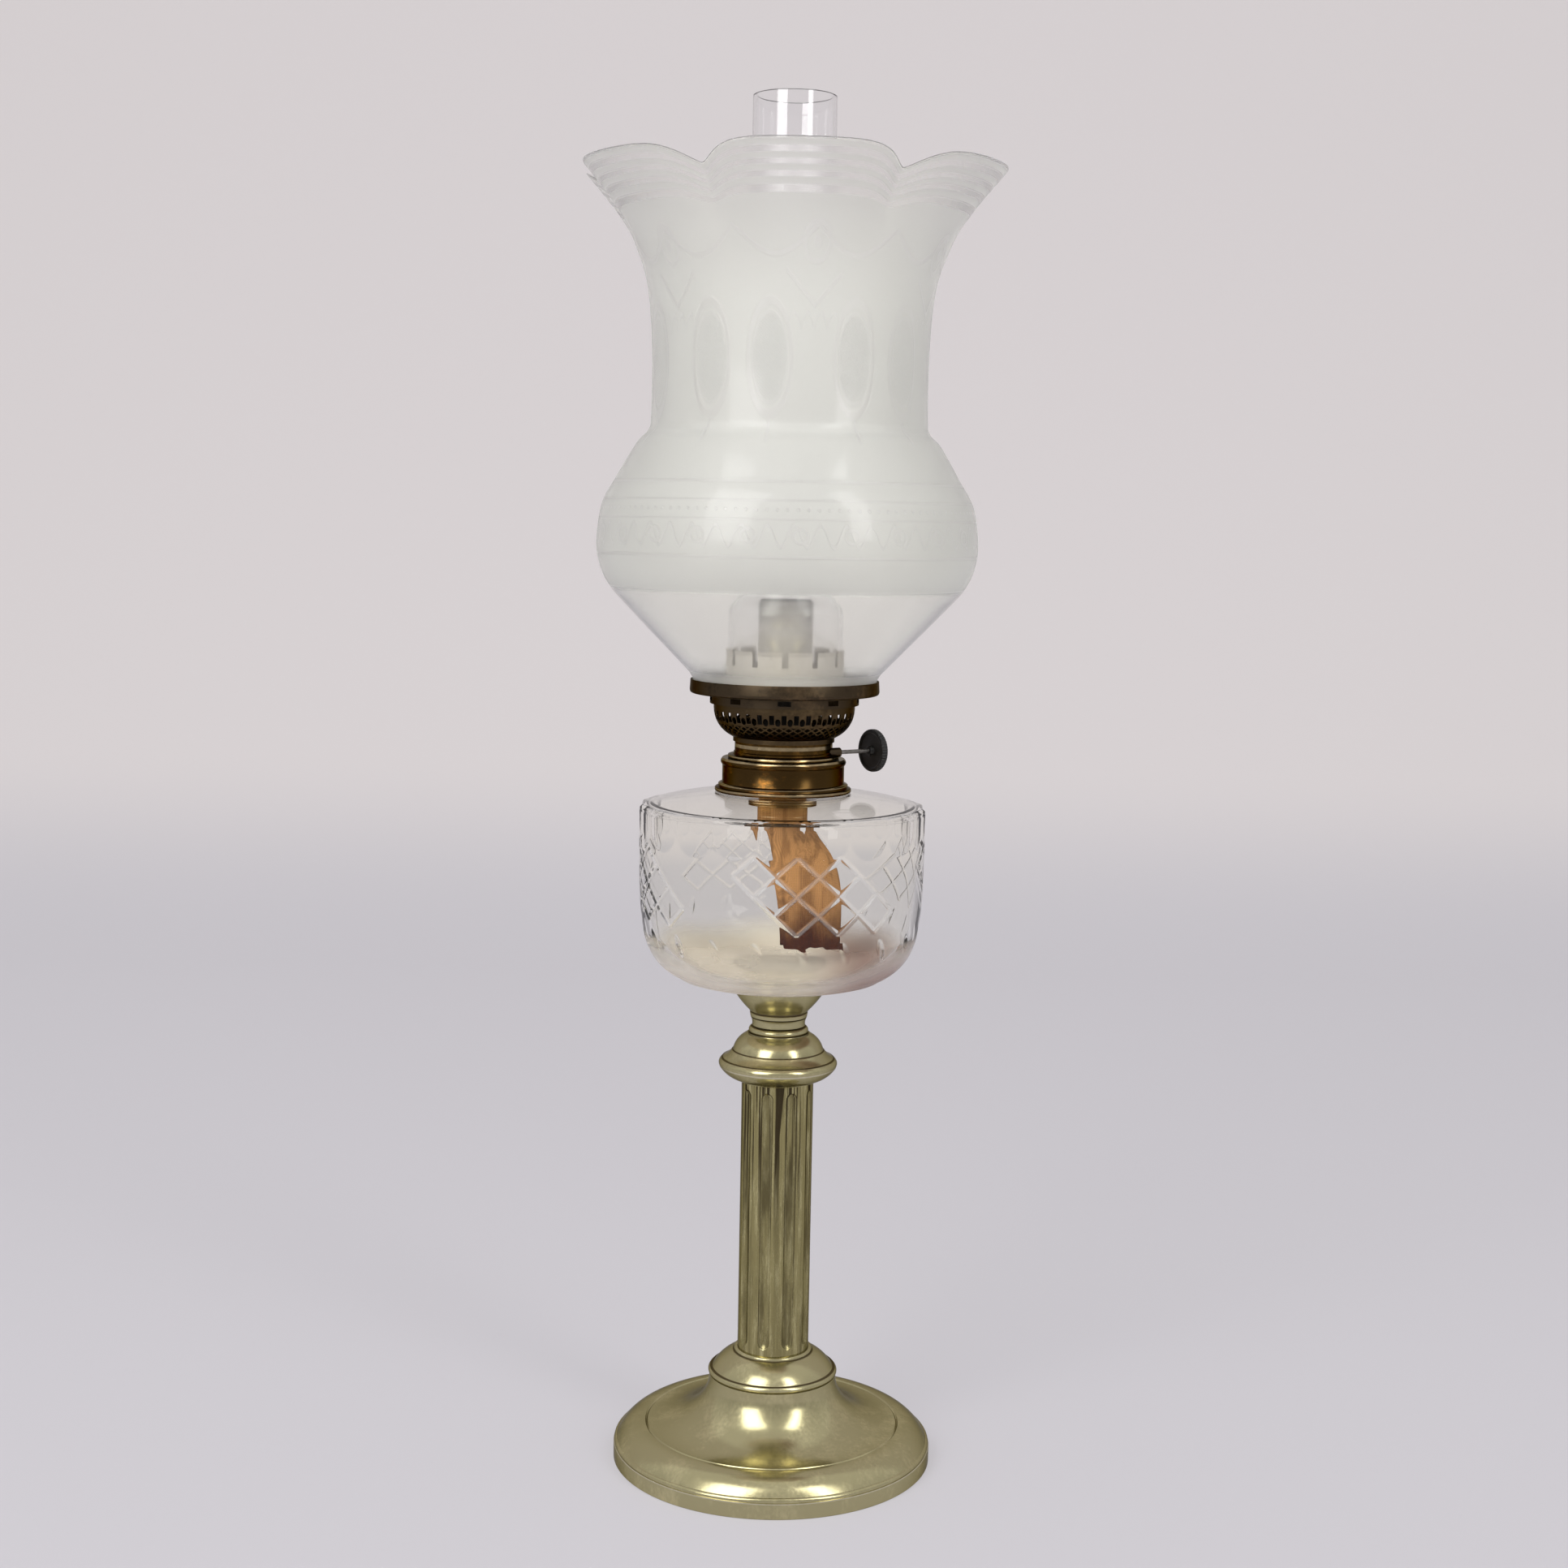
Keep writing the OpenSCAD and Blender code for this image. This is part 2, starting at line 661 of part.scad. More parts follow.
// Bracket on the wick tube with an ear at each side of the spur wheels
bracket_h = 11;
bracket_y = sqrt(pow(drum_r - burner_sheet - 0.4, 2) - pow(ear_x + ear_t, 2));
module shaft_bracket() {
    color("rosybrown")
        difference() {
            rotate([0, 0, winder_angle])
                translate([0, -bracket_y, shaft_z - bracket_h / 2])
                    difference() {
                        translate([-ear_x - ear_t, 0, 0])
                            cube([2 * (ear_x + ear_t), bracket_y - 4, bracket_h]);
                        translate([-ear_x, 0.8, -1])
                            cube([2 * ear_x, bracket_y, bracket_h + 2]);
                        translate([-ear_x, -1, bracket_h / 2 - spur_r - 0.2])
                            cube([2 * ear_x, 3, 2 * spur_r + 0.4]);
                    }
            translate([0, 0, shaft_z - bracket_h]) cylinder(h = 2 * bracket_h, r = tube_r, $fn = round_fn);
            along_shaft(-ear_x - 9) cylinder(h = 2 * ear_x + 18, r = shaft_r + shaft_gap, $fn = small_fn);
        }
}

// Sleeve in the drum wall that the winder shaft turns in
sleeve_x = ear_x + ear_t + 1.6;
sleeve_len = 9.4;
sleeve_r = 2.2;
module winder_sleeve() {
    color("saddlebrown")
        along_shaft(sleeve_x)
            difference() {
                cylinder(h = sleeve_len, r = sleeve_r, $fn = small_fn);
                translate([0, 0, -1]) cylinder(h = sleeve_len + 2, r = shaft_r + shaft_gap, $fn = small_fn);
            }
}

module winder_shaft() {
    start = -ear_x - ear_t - 1;
    length = shaft_reach + knob_t - start;
    color("dimgray") along_shaft(start) cylinder(h = length, r = shaft_r, $fn = small_fn);
}

// Two toothed wheels that press on the wick through the slot
spur_teeth = 12;
spur_t = 1.4;
spur_x = 3;
module spur_wheels() {
    root = spur_r * 0.72;
    star = [for (i = [0 : 2 * spur_teeth - 1]) let (r = i % 2 == 0 ? spur_r : root, a = i * 180 / spur_teeth)
        [r * cos(a), r * sin(a)]];
    color("goldenrod")
        for (x = [-spur_x, spur_x])
            along_shaft(x - spur_t / 2)
                linear_extrude(height = spur_t)
                    difference() {
                        polygon(star);
                        circle(r = shaft_r, $fn = small_fn);
                    }
}

// Knob: a thin disc with a raised edge and a hub
module winder_knob() {
    r = knob_d / 2;
    edge = 0.5;
    color("dimgray")
        along_shaft(shaft_reach)
            rotate_extrude($fn = round_fn)
                polygon([
                    [shaft_r, -1.6], [shaft_r + 1.1, -1.6], [shaft_r + 1.5, 0], [r - 2, 0], [r - 1.6, -edge],
                    [r - 0.4, -edge], [r, 0.1], [r, knob_t - 0.1], [r - 0.4, knob_t + edge],
                    [r - 1.6, knob_t + edge], [r - 2, knob_t], [shaft_r, knob_t]
                ]);
}

module knob_rivet() {
    color("dimgray")
        along_shaft(shaft_reach + knob_t)
            rotate_extrude($fn = small_fn)
                polygon(concat([[0, 0]], ellipse_arc([0, 0], shaft_r + 0.9, 0.9, 0, 90, 6)));
}

// Wick: flat cotton rolled to a tube, open along one side where it passes the air duct.
// Below the burner it loosens, leans towards the lamp's right and falls into soft folds.
wick_top = tube_top + 1;
wick_low = guide_z - wick_hang;
wick_steps = 24;
wick_front = 180 - winder_angle;
// Angle that the rolled cotton takes in at the flame, beside the duct and where it hangs loose
closed_span = 357;
duct_span = 286;
loose_span = 232;
// Rows over which the seam closes above the duct
seam_low = duct_z + duct_h + 9;
seam_high = seam_low + 6;
seam_rows = 6;
// Rows of the hanging tail, with its loosening, its lean and the depth of its folds
hang_top = guide_z - 7;
hang_rows = 15;
tail_spread = 0.43 * wick_in_r;
tail_lean = [0.21 * wick_hang, -0.06 * wick_hang];
tail_fold = 0.6 * wick_t;
wick_levels = concat(
    [wick_top],
    [for (k = [0 : seam_rows]) seam_high - (seam_high - seam_low) * k / seam_rows],
    [for (k = [0 : hang_rows]) hang_top - (hang_top - wick_low) * k / hang_rows]
);
function wick_point(i, r, span, fold, shift, z) = let (
    a = wick_front + span * (i / wick_steps - 0.5),
    w = r + fold * sin(3.5 * a)
) [w * sin(a) + shift[0], w * cos(a) + shift[1], z];
function wick_row(z) = let (
    seam = max(0, min(1, (z - seam_low) / (seam_high - seam_low))),
    tail = max(0, (hang_top - z) / (hang_top - wick_low)),
    loosen = ramp(tail, 0, 0.35),
    gather = ramp(tail, 0.35, 1),
    span = duct_span + (closed_span - duct_span) * seam - (duct_span - loose_span) * loosen,
    middle = (wick_in_r + wick_out_r) / 2 + tail_spread * (loosen - 0.6 * gather),
    fold = tail_fold * (loosen + gather),
    shift = [tail_lean[0] * (1 - pow(1 - tail, 3)), tail_lean[1] * tail]
) concat(
    [for (i = [0 : wick_steps]) wick_point(i, middle + wick_t / 2, span, fold, shift, z)],
    [for (i = [wick_steps : -1 : 0]) wick_point(i, middle - wick_t / 2, span, fold, shift, z)]
);
module wick() {
    rows = [for (z = wick_levels) wick_row(z)];
    m = 2 * (wick_steps + 1);
    points = [for (row = rows, p = row) p];
    sides = [for (k = [0 : len(rows) - 2], i = [0 : m - 1]) let (
        a = k * m + i, b = k * m + (i + 1) % m, c = a + m, d = b + m
    ) each [[a, d, b], [a, c, d]]];
    last = (len(rows) - 1) * m;
    caps = [for (i = [0 : wick_steps - 1]) let (j = m - 1 - i) each [
        [i, i + 1, j], [i + 1, j - 1, j],
        [last + i + 1, last + i, last + j], [last + i + 1, last + j, last + j - 1]
    ]];
    color("peru") polyhedron(points = points, faces = concat(sides, caps), convexity = 6);
}

// Chimney: a straight base, a drawn-in shoulder above the flame and a long plain tube
function chimney_side(inset) = let (
    base = chimney_r - inset,
    top = chimney_top_d / 2 - inset,
    tube = top + 1,
    h = chimney_base_h
) concat(
    [[base, 0], [base, h]],
    bow([base, h], [(base + tube) / 2, h + 7], 1, 5),
    bow([(base + tube) / 2, h + 7], [tube, h + 14], -1, 5),
    [[top, chimney_h]]
);
module chimney() {
    color("aliceblue", 0.35)
        turned(concat(chimney_side(0), reverse(chimney_side(chimney_wall))), chimney_z);
}

// Shade: a bowl, a rounded bulge, a straight waist and a flared rim pushed in at even folds
function shade_curve(inset) = let (
    bulge = shade_bulge_d / 2 - inset,
    waist = shade_waist_d / 2 - inset,
    rim = shade_rim_d / 2 - inset / 2,
    foot = shade_foot_r - inset
) concat(
    [[foot, 0], [foot, 6]],
    smooth([
        [foot + 1.6, 8.6], [foot + 30, 38], [bulge - 5, 49], [bulge - 0.6, 60], [bulge, 71],
        [bulge - 2.4, 85.5], [bulge - 8.6, 97], [waist + 6.4, 112.5], [waist + 1.1, 118.5], [waist, 126],
        [waist, shade_h * 0.66], [waist + 2.4, shade_h * 0.78], [waist + 9, shade_h * 0.86],
        [(waist + rim) / 2 + 1, shade_h * 0.92], [rim, shade_h]
    ], 2)
);
shade_turn = 3 - 90;
shade_angles = [-30, -21.5, -14.5, -9, -5, -2, 0, 2, 5, 9, 14.5, 21.5];
function fold_shape(d) = exp(-pow(abs(d) / 7, 1.5));
function shade_ring_points(p) = let (w = pow(ramp(p[1], shade_h * 0.82, shade_h * 1.02), 1.2)) [
    for (i = [0 : lobe_count - 1], d = shade_angles) let (
        a = shade_turn + (i + 0.5) * 360 / lobe_count + d * 6 / lobe_count,
        f = fold_shape(d),
        r = p[0] - w * fold_in * f,
        z = p[1] - w * fold_dip * f
    ) [r * cos(a), r * sin(a), z + shade_z]
];
module shade() {
    outside = shade_curve(0);
    inside = reverse(shade_curve(shade_wall));
    loop = concat(outside, inside);
    rows = len(loop);
    m = lobe_count * len(shade_angles);
    points = [for (p = loop, q = shade_ring_points(p)) q];
    faces = [for (k = [0 : rows - 1], i = [0 : m - 1]) let (
        next = (i + 1) % m, above = (k + 1) % rows,
        a = k * m + i, b = k * m + next, c = above * m + i, d = above * m + next
    ) each [[a, d, b], [a, c, d]]];
    color("white", 0.6) polyhedron(points = points, faces = faces, convexity = 8);
}

foot_shell();
foot_weight();
tie_rod();
tie_rod_nut();
tie_rod_washer();
column_socket();
column();
capital();
neck_spool();
font_cup();
cup_plaster();
font();
collar_plaster();
font_collar();
burner_drum();
drum_floor();
wick_guide();
wick_tube();
air_tube();
basket();
gallery_crown();
shade_ring();
chimney_holder();
shaft_bracket();
winder_sleeve();
winder_shaft();
spur_wheels();
winder_knob();
knob_rivet();
wick();
chimney();
shade();
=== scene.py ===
"""Looks of a column table lamp that burns kerosene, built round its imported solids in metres."""

import logging
import math
from dataclasses import dataclass
from enum import Enum
from functools import reduce
from typing import Callable, Sequence

import bpy
import numpy as np
from mathutils import Matrix, Vector


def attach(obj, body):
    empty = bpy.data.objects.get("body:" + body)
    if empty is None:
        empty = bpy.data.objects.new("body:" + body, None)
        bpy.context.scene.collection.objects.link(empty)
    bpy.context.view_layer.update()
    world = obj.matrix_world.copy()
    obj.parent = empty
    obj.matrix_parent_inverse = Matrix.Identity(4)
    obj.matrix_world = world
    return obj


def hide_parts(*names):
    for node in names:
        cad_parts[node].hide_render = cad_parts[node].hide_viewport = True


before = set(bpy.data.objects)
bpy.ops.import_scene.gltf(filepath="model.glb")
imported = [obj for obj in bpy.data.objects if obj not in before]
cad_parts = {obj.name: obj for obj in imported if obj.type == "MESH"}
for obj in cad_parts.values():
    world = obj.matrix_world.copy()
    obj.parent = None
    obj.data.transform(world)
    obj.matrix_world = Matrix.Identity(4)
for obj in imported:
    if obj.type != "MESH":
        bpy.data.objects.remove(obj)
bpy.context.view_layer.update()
LOG = logging.getLogger("lamp")
MM = 0.001
PHOTO_PX = 1932
SOLID_CREASE = 30

Point = tuple[float, float]
Triple = tuple[float, float, float]
Colour = tuple[float, float, float]
Arrays = tuple[np.ndarray, np.ndarray]
Shape = Callable[[np.ndarray, np.ndarray, np.ndarray], Arrays]


class Body(Enum):
    """The rigid groups that the lamp's pieces ride on."""

    STAND = "stand"
    BURNER = "burner"
    WINDER = "winder"
    WICK = "wick"
    CHIMNEY = "chimney"
    SHADE = "shade"


def bow(start: Point, end: Point, sag: float, steps: int = 24) -> list[Point]:
    """Points from start to end that bow to the right of the line.

    Args:
        start: First point, as radius and height in millimetres.
        end: Last point.
        sag: How far the middle stands off the straight line.
        steps: Number of spans.

    Returns:
        The points in order, both ends among them.
    """
    p, d = np.array(start), np.array(end) - np.array(start)
    right = np.array([d[1], -d[0]]) / np.hypot(*d)
    t = np.linspace(0, 1, steps + 1)[:, None]
    return [tuple(q) for q in p + t * d + 4 * sag * t * (1 - t) * right]


def ellipse_arc(
    centre: Point, wide: float, high: float, first: float, last: float, steps: int = 40
) -> list[Point]:
    """Points on an ellipse between two angles in degrees.

    Args:
        centre: Middle of the ellipse.
        wide: Half its width.
        high: Half its height.
        first: Angle of the first point.
        last: Angle of the last point.
        steps: Number of spans.

    Returns:
        The points in order.
    """
    t = np.radians(np.linspace(first, last, steps + 1))
    return [(centre[0] + wide * math.cos(a), centre[1] + high * math.sin(a)) for a in t]


def smooth_curve(points: Sequence[Point], steps: int = 10) -> list[Point]:
    """A curve that passes through every point.

    Args:
        points: The points to pass through.
        steps: Spans between two neighbours.

    Returns:
        The points of the curve in order.
    """
    p = np.array([points[0], *points, points[-1]], float)
    out: list[Point] = []
    for i in range(1, len(p) - 2):
        a, b, c, d = p[i - 1 : i + 3]
        bend, twist = a - 2.5 * b + 2 * c - d / 2, 1.5 * (b - c) + (d - a) / 2
        for t in np.arange(steps) / steps:
            q = b + t * (c - a) / 2 + t**2 * bend + t**3 * twist
            out.append((float(q[0]), float(q[1])))
    return [*out, (float(p[-1][0]), float(p[-1][1]))]


def eased(corners: Sequence[Triple], steps: int = 6) -> list[Point]:
    """A closed outline whose corners are rounded, each by its own radius.

    Args:
        corners: Radius, height and rounding of each corner in millimetres.
        steps: Spans in a rounded corner.

    Returns:
        The points of the rounded outline.
    """
    out: list[Point] = []
    for i, (r, z, ease) in enumerate(corners):
        here = np.array((r, z))
        before = np.array(corners[i - 1][:2]) - here
        after = np.array(corners[(i + 1) % len(corners)][:2]) - here
        reach = min(ease, 0.45 * np.hypot(*before), 0.45 * np.hypot(*after))
        if reach < 0.01:
            out.append((r, z))
            continue
        a, b = here + before / np.hypot(*before) * reach, here + after / np.hypot(*after) * reach
        for t in np.linspace(0, 1, steps + 1):
            q = (1 - t) ** 2 * a + 2 * t * (1 - t) * here + t**2 * b
            out.append((float(q[0]), float(q[1])))
    return out


def ramp(x: np.ndarray, low: float, high: float) -> np.ndarray:
    """A smooth step from 0 at low to 1 at high."""
    t = np.clip((x - low) / (high - low), 0, 1)
    return t * t * (3 - 2 * t)


def soften(mesh: bpy.types.Mesh, crease: float) -> None:
    """Shades a mesh smoothly, except at edges that turn by more than crease degrees."""
    mesh.polygons.foreach_set("use_smooth", np.ones(len(mesh.polygons), bool))
    mesh.set_sharp_from_angle(angle=math.radians(crease))


def make_mesh(
    name: str, points: np.ndarray, quads: np.ndarray, body: Body, crease: float = 35
) -> bpy.types.Object:
    """A smooth-shaded piece that rides on a body.

    Args:
        name: Name of the piece.
        points: Vertices in millimetres, one row each.
        quads: Faces as rows of four vertex numbers, facing out.
        body: The body that the piece moves with.
        crease: Edges that turn by more than this many degrees stay sharp.

    Returns:
        The new object.
    """
    mesh = bpy.data.meshes.new(name)
    mesh.from_pydata((points * MM).tolist(), [], quads.tolist())
    soften(mesh, crease)
    mesh.update()
    piece = bpy.data.objects.new(name, mesh)
    bpy.context.scene.collection.objects.link(piece)
    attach(piece, body.value)
    return piece


@dataclass
class Turning:
    """A closed half outline turned round an axis, with an optional change of shape.

    Attributes:
        outline: Points of radius and height in millimetres, running up the outside.
        steps: Number of spans round the axis.
        shape: Takes angle, radius and height and gives the radius and height to use.
        lift: Height that the outline stands on.
    """

    outline: Sequence[Point]
    steps: int = 180
    shape: Shape | None = None
    lift: float = 0.0

    def build(
        self, name: str, body: Body, crease: float = 35, place: Matrix | None = None
    ) -> bpy.types.Object:
        """Makes the turned piece.

        Args:
            name: Name of the piece.
            body: The body that the piece moves with.
            crease: Edges that turn by more than this many degrees stay sharp.
            place: Where the turning axis goes, in millimetres, if not the lamp's axis.

        Returns:
            The new object, with a map of turn and outline height for its finish.
        """
        line = np.array(self.outline, float)
        n, m = self.steps, len(line)
        turn = np.arange(n) * 2 * math.pi / n
        a, r, z = np.repeat(turn, m), np.tile(line[:, 0], n), np.tile(line[:, 1], n)
        if self.shape:
            r, z = self.shape(a, r, z)
        points = np.stack([r * np.cos(a), r * np.sin(a), z + self.lift], 1)
        i, j = np.repeat(np.arange(n), m), np.tile(np.arange(m), n)
        after, above = (i + 1) % n, (j + 1) % m
        quads = np.stack([i * m + j, after * m + j, after * m + above, i * m + above], 1)
        if place is not None:
            spin = np.array(place)
            points = points @ spin[:3, :3].T + spin[:3, 3]
        piece = make_mesh(name, points, quads, body, crease)
        layer = piece.data.uv_layers.new(name="turn_map")
        far = (i + 1) / n
        u = np.stack([i / n, far, far, i / n], 1)
        v = np.stack([line[j, 1], line[j, 1], line[above, 1], line[above, 1]], 1) * MM
        layer.data.foreach_set("uv", np.stack([u, v], 2).astype(np.float32).ravel())
        return piece


class Field:
    """A number on a surface: shader maths written as plain algebra."""

    def __init__(self, tree: bpy.types.NodeTree, socket: bpy.types.NodeSocket) -> None:
        """Wraps an output socket of a material's node tree."""
        self.tree = tree
        self.socket = socket

    def _math(self, operation: str, *others: "Field | float") -> "Field":
        """One maths node.

        Args:
            operation: Name of the node's operation.
            others: Further operands.

        Returns:
            The node's result.
        """
        node = self.tree.nodes.new("ShaderNodeMath")
        node.operation = operation
        for place, value in enumerate((self, *others)):
            if isinstance(value, Field):
                self.tree.links.new(value.socket, node.inputs[place])
            else:
                node.inputs[place].default_value = value
        return Field(self.tree, node.outputs[0])

    def __add__(self, other: "Field | float") -> "Field":
        """The sum."""
        return self._math("ADD", other)

    def __sub__(self, other: "Field | float") -> "Field":
        """The difference."""
        return self._math("SUBTRACT", other)

    def __mul__(self, other: "Field | float") -> "Field":
        """The product."""
        return self._math("MULTIPLY", other)

    def __truediv__(self, other: "Field | float") -> "Field":
        """The quotient."""
        return self._math("DIVIDE", other)

    def away(self, other: "Field | float" = 0.0) -> "Field":
        """The distance from a value."""
        return (self - other)._math("ABSOLUTE")

    def wave(self, rate: float) -> "Field":
        """A sine of this many radians per unit."""
        return (self * rate)._math("SINE")

    def repeat(self, period: float) -> "Field":
        """The place within a repeat, from minus half a period to half a period."""
        return (self + period / 2)._math("FLOORED_MODULO", period) - period / 2

    def rest(self) -> "Field":
        """What is left to 1."""
        return self * -1.0 + 1.0

    def most(self, other: "Field | float") -> "Field":
        """The larger of the two."""
        return self._math("MAXIMUM", other)

    def hypot(self, other: "Field") -> "Field":
        """The length of the hypotenuse."""
        return (self * self + other * other)._math("SQRT")

    def angle(self, other: "Field") -> "Field":
        """The direction of the point whose sides are other and this, in degrees."""
        return self._math("ARCTAN2", other) * (180.0 / math.pi)

    def step(self, low: float, high: float) -> "Field":
        """A smooth step.

        Args:
            low: Where the step starts.
            high: Where it ends, which may be the smaller.

        Returns:
            0 up to low, 1 from high on.
        """
        node = self.tree.nodes.new("ShaderNodeMapRange")
        node.interpolation_type = "SMOOTHSTEP"
        rising = high > low
        self.tree.links.new(self.socket, node.inputs["Value"])
        node.inputs["From Min"].default_value = min(low, high)
        node.inputs["From Max"].default_value = max(low, high)
        node.inputs["To Min"].default_value = 0.0 if rising else 1.0
        node.inputs["To Max"].default_value = 1.0 if rising else 0.0
        return Field(self.tree, node.outputs["Result"])

    def within(self, low: float, high: float, soft: float) -> "Field":
        """1 between low and high, 0 outside, with soft edges."""
        return self.step(low - soft, low + soft) * self.step(high + soft, high - soft)


def largest(fields: Sequence[Field]) -> Field:
    """The largest of some fields at each point."""
    return reduce(Field.most, fields)


def rays(tree: bpy.types.NodeTree, *kinds: str) -> Field:
    """1 for light rays of these kinds, 0 for the others."""
    path = tree.nodes.new("ShaderNodeLightPath")
    return largest([Field(tree, path.outputs[f"Is {kind} Ray"]) for kind in kinds])


def mixed(tree: bpy.types.NodeTree, amount: Field, low: object, high: object) -> bpy.types.NodeSocket:
    """A colour between two, by a field.

    Args:
        tree: The node tree that the colour is made in.
        amount: 0 gives low, 1 gives high.
        low: A linear colour or a colour socket.
        high: A linear colour or a colour socket.

    Returns:
        The colour socket.
    """
    node = tree.nodes.new("ShaderNodeMix")
    node.data_type = "RGBA"
    tree.links.new(amount.socket, node.inputs["Factor"])
    for name, value in (("A", low), ("B", high)):
        socket = next(s for s in node.inputs if s.name == name and s.type == "RGBA")
        if isinstance(value, bpy.types.NodeSocket):
            tree.links.new(value, socket)
        else:
            socket.default_value = (*value, 1.0)
    return next(s for s in node.outputs if s.type == "RGBA")


class Shader:
    """A material under construction, round one principled surface."""

    def __init__(self, name: str) -> None:
        """Starts a material.

        Args:
            name: Name of the material.
        """
        self.material = bpy.data.materials.new(name)
        self.material.use_nodes = True
        self.tree = self.material.node_tree
        self.surface = self.tree.nodes["Principled BSDF"]
        self.output = self.tree.nodes["Material Output"]

    def node(self, kind: str, **sockets: object) -> bpy.types.Node:
        """A new node with some of its inputs set.

        Args:
            kind: Blender's name for the node.
            sockets: Input names, with _ for a space, and their values.

        Returns:
            The node.
        """
        made = self.tree.nodes.new(kind)
        for name, value in sockets.items():
            made.inputs[name.replace("_", " ")].default_value = value
        return made

    def give(self, socket: str, value: object) -> None:
        """Sets an input of the surface.

        Args:
            socket: Name of the input.
            value: A constant, a colour socket or a field.
        """
        target = self.surface.inputs[socket]
        value = value.socket if isinstance(value, Field) else value
        if isinstance(value, bpy.types.NodeSocket):
            self.tree.links.new(value, target)
        else:
            target.default_value = (*value, 1.0) if target.type == "RGBA" else value

    def place(self) -> tuple[Field, Field, Field]:
        """The point on the surface in the lamp's frame.

        Returns:
            Its three coordinates in millimetres.
        """
        coordinates = self.node("ShaderNodeTexCoord")
        split = self.node("ShaderNodeSeparateXYZ")
        self.tree.links.new(coordinates.outputs["Object"], split.inputs[0])
        return tuple(Field(self.tree, split.outputs[axis]) * 1000.0 for axis in "XYZ")

    def own(self, name: str) -> Field:
        """A value that the mesh itself carries at each point.

        Args:
            name: Name of the value.

        Returns:
            The value, 0 where the mesh has none.
        """
        node = self.node("ShaderNodeAttribute")
        node.attribute_name = name
        return Field(self.tree, node.outputs["Fac"])

    def turn_map(self) -> tuple[Field, Field]:
        """The place on a turned piece.

        Returns:
            The turn round the axis in degrees, and the outline height in millimetres.
        """
        layer = self.node("ShaderNodeUVMap")
        layer.uv_map = "turn_map"
        split = self.node("ShaderNodeSeparateXYZ")
        self.tree.links.new(layer.outputs[0], split.inputs[0])
        return Field(self.tree, split.outputs["X"]) * 360.0, Field(self.tree, split.outputs["Y"]) * 1000.0

    def noise(
        self, scale: float, stretch: Triple = (1, 1, 1), detail: float = 4, rough: float = 0.6
    ) -> Field:
        """Cloudy noise.

        Args:
            scale: Features per metre before the stretch.
            stretch: Factor on the scale along X, Y and Z.
            detail: Number of octaves.
            rough: Strength of the finer octaves.

        Returns:
            A field from 0 to 1.
        """
        coordinates = self.node("ShaderNodeTexCoord")
        mapping = self.node("ShaderNodeMapping", Scale=stretch)
        cloud = self.node("ShaderNodeTexNoise", Scale=scale, Detail=detail, Roughness=rough)
        self.tree.links.new(coordinates.outputs["Object"], mapping.inputs["Vector"])
        self.tree.links.new(mapping.outputs[0], cloud.inputs["Vector"])
        return Field(self.tree, cloud.outputs[0])

    def colours(self, amount: Field, stops: Sequence[tuple[float, Colour]]) -> bpy.types.NodeSocket:
        """A colour for each value of a field.

        Args:
            amount: The field.
            stops: Places from 0 to 1 and their linear colours.

        Returns:
            The colour socket.
        """
        node = self.node("ShaderNodeValToRGB")
        table = node.color_ramp.elements
        while len(table) < len(stops):
            table.new(1.0)
        for element, (place, colour) in zip(table, stops):
            element.position = place
            element.color = (*colour, 1.0)
        self.tree.links.new(amount.socket, node.inputs[0])
        return node.outputs[0]

    def mixed(self, amount: Field, low: object, high: object) -> bpy.types.NodeSocket:
        """A colour between two in this material, by a field."""
        return mixed(self.tree, amount, low, high)

    def bump(self, height: Field, depth: float, strength: float) -> None:
        """Raises the surface by a field.

        Args:
            height: The field, 1 for fully raised.
            depth: Height of a full rise in metres.
            strength: How much of it shows.
        """
        node = self.node("ShaderNodeBump", Strength=strength, Distance=depth)
        self.tree.links.new(height.socket, node.inputs["Height"])
        self.tree.links.new(node.outputs[0], self.surface.inputs["Normal"])

    def overlay(self, amount: Field, other: bpy.types.Node) -> None:
        """Mixes another shader over the surface.

        Args:
            amount: Share of the other shader.
            other: The other shader's node.
        """
        mix = self.node("ShaderNodeMixShader")
        for place, socket in enumerate((amount.socket, self.surface.outputs[0], other.outputs[0])):
            self.tree.links.new(socket, mix.inputs[place])
        self.tree.links.new(mix.outputs[0], self.output.inputs["Surface"])

    def let_light_through(self, share: float, tint: Colour) -> None:
        """Lets a share of the light pass the glass without bending, for soft shadows.

        Args:
            share: Share of shadow and scattered light that passes.
            tint: Linear colour that the light takes.
        """
        clear = self.node("ShaderNodeBsdfTransparent", Color=(*tint, 1.0))
        self.overlay(rays(self.tree, "Shadow", "Diffuse") * share, clear)


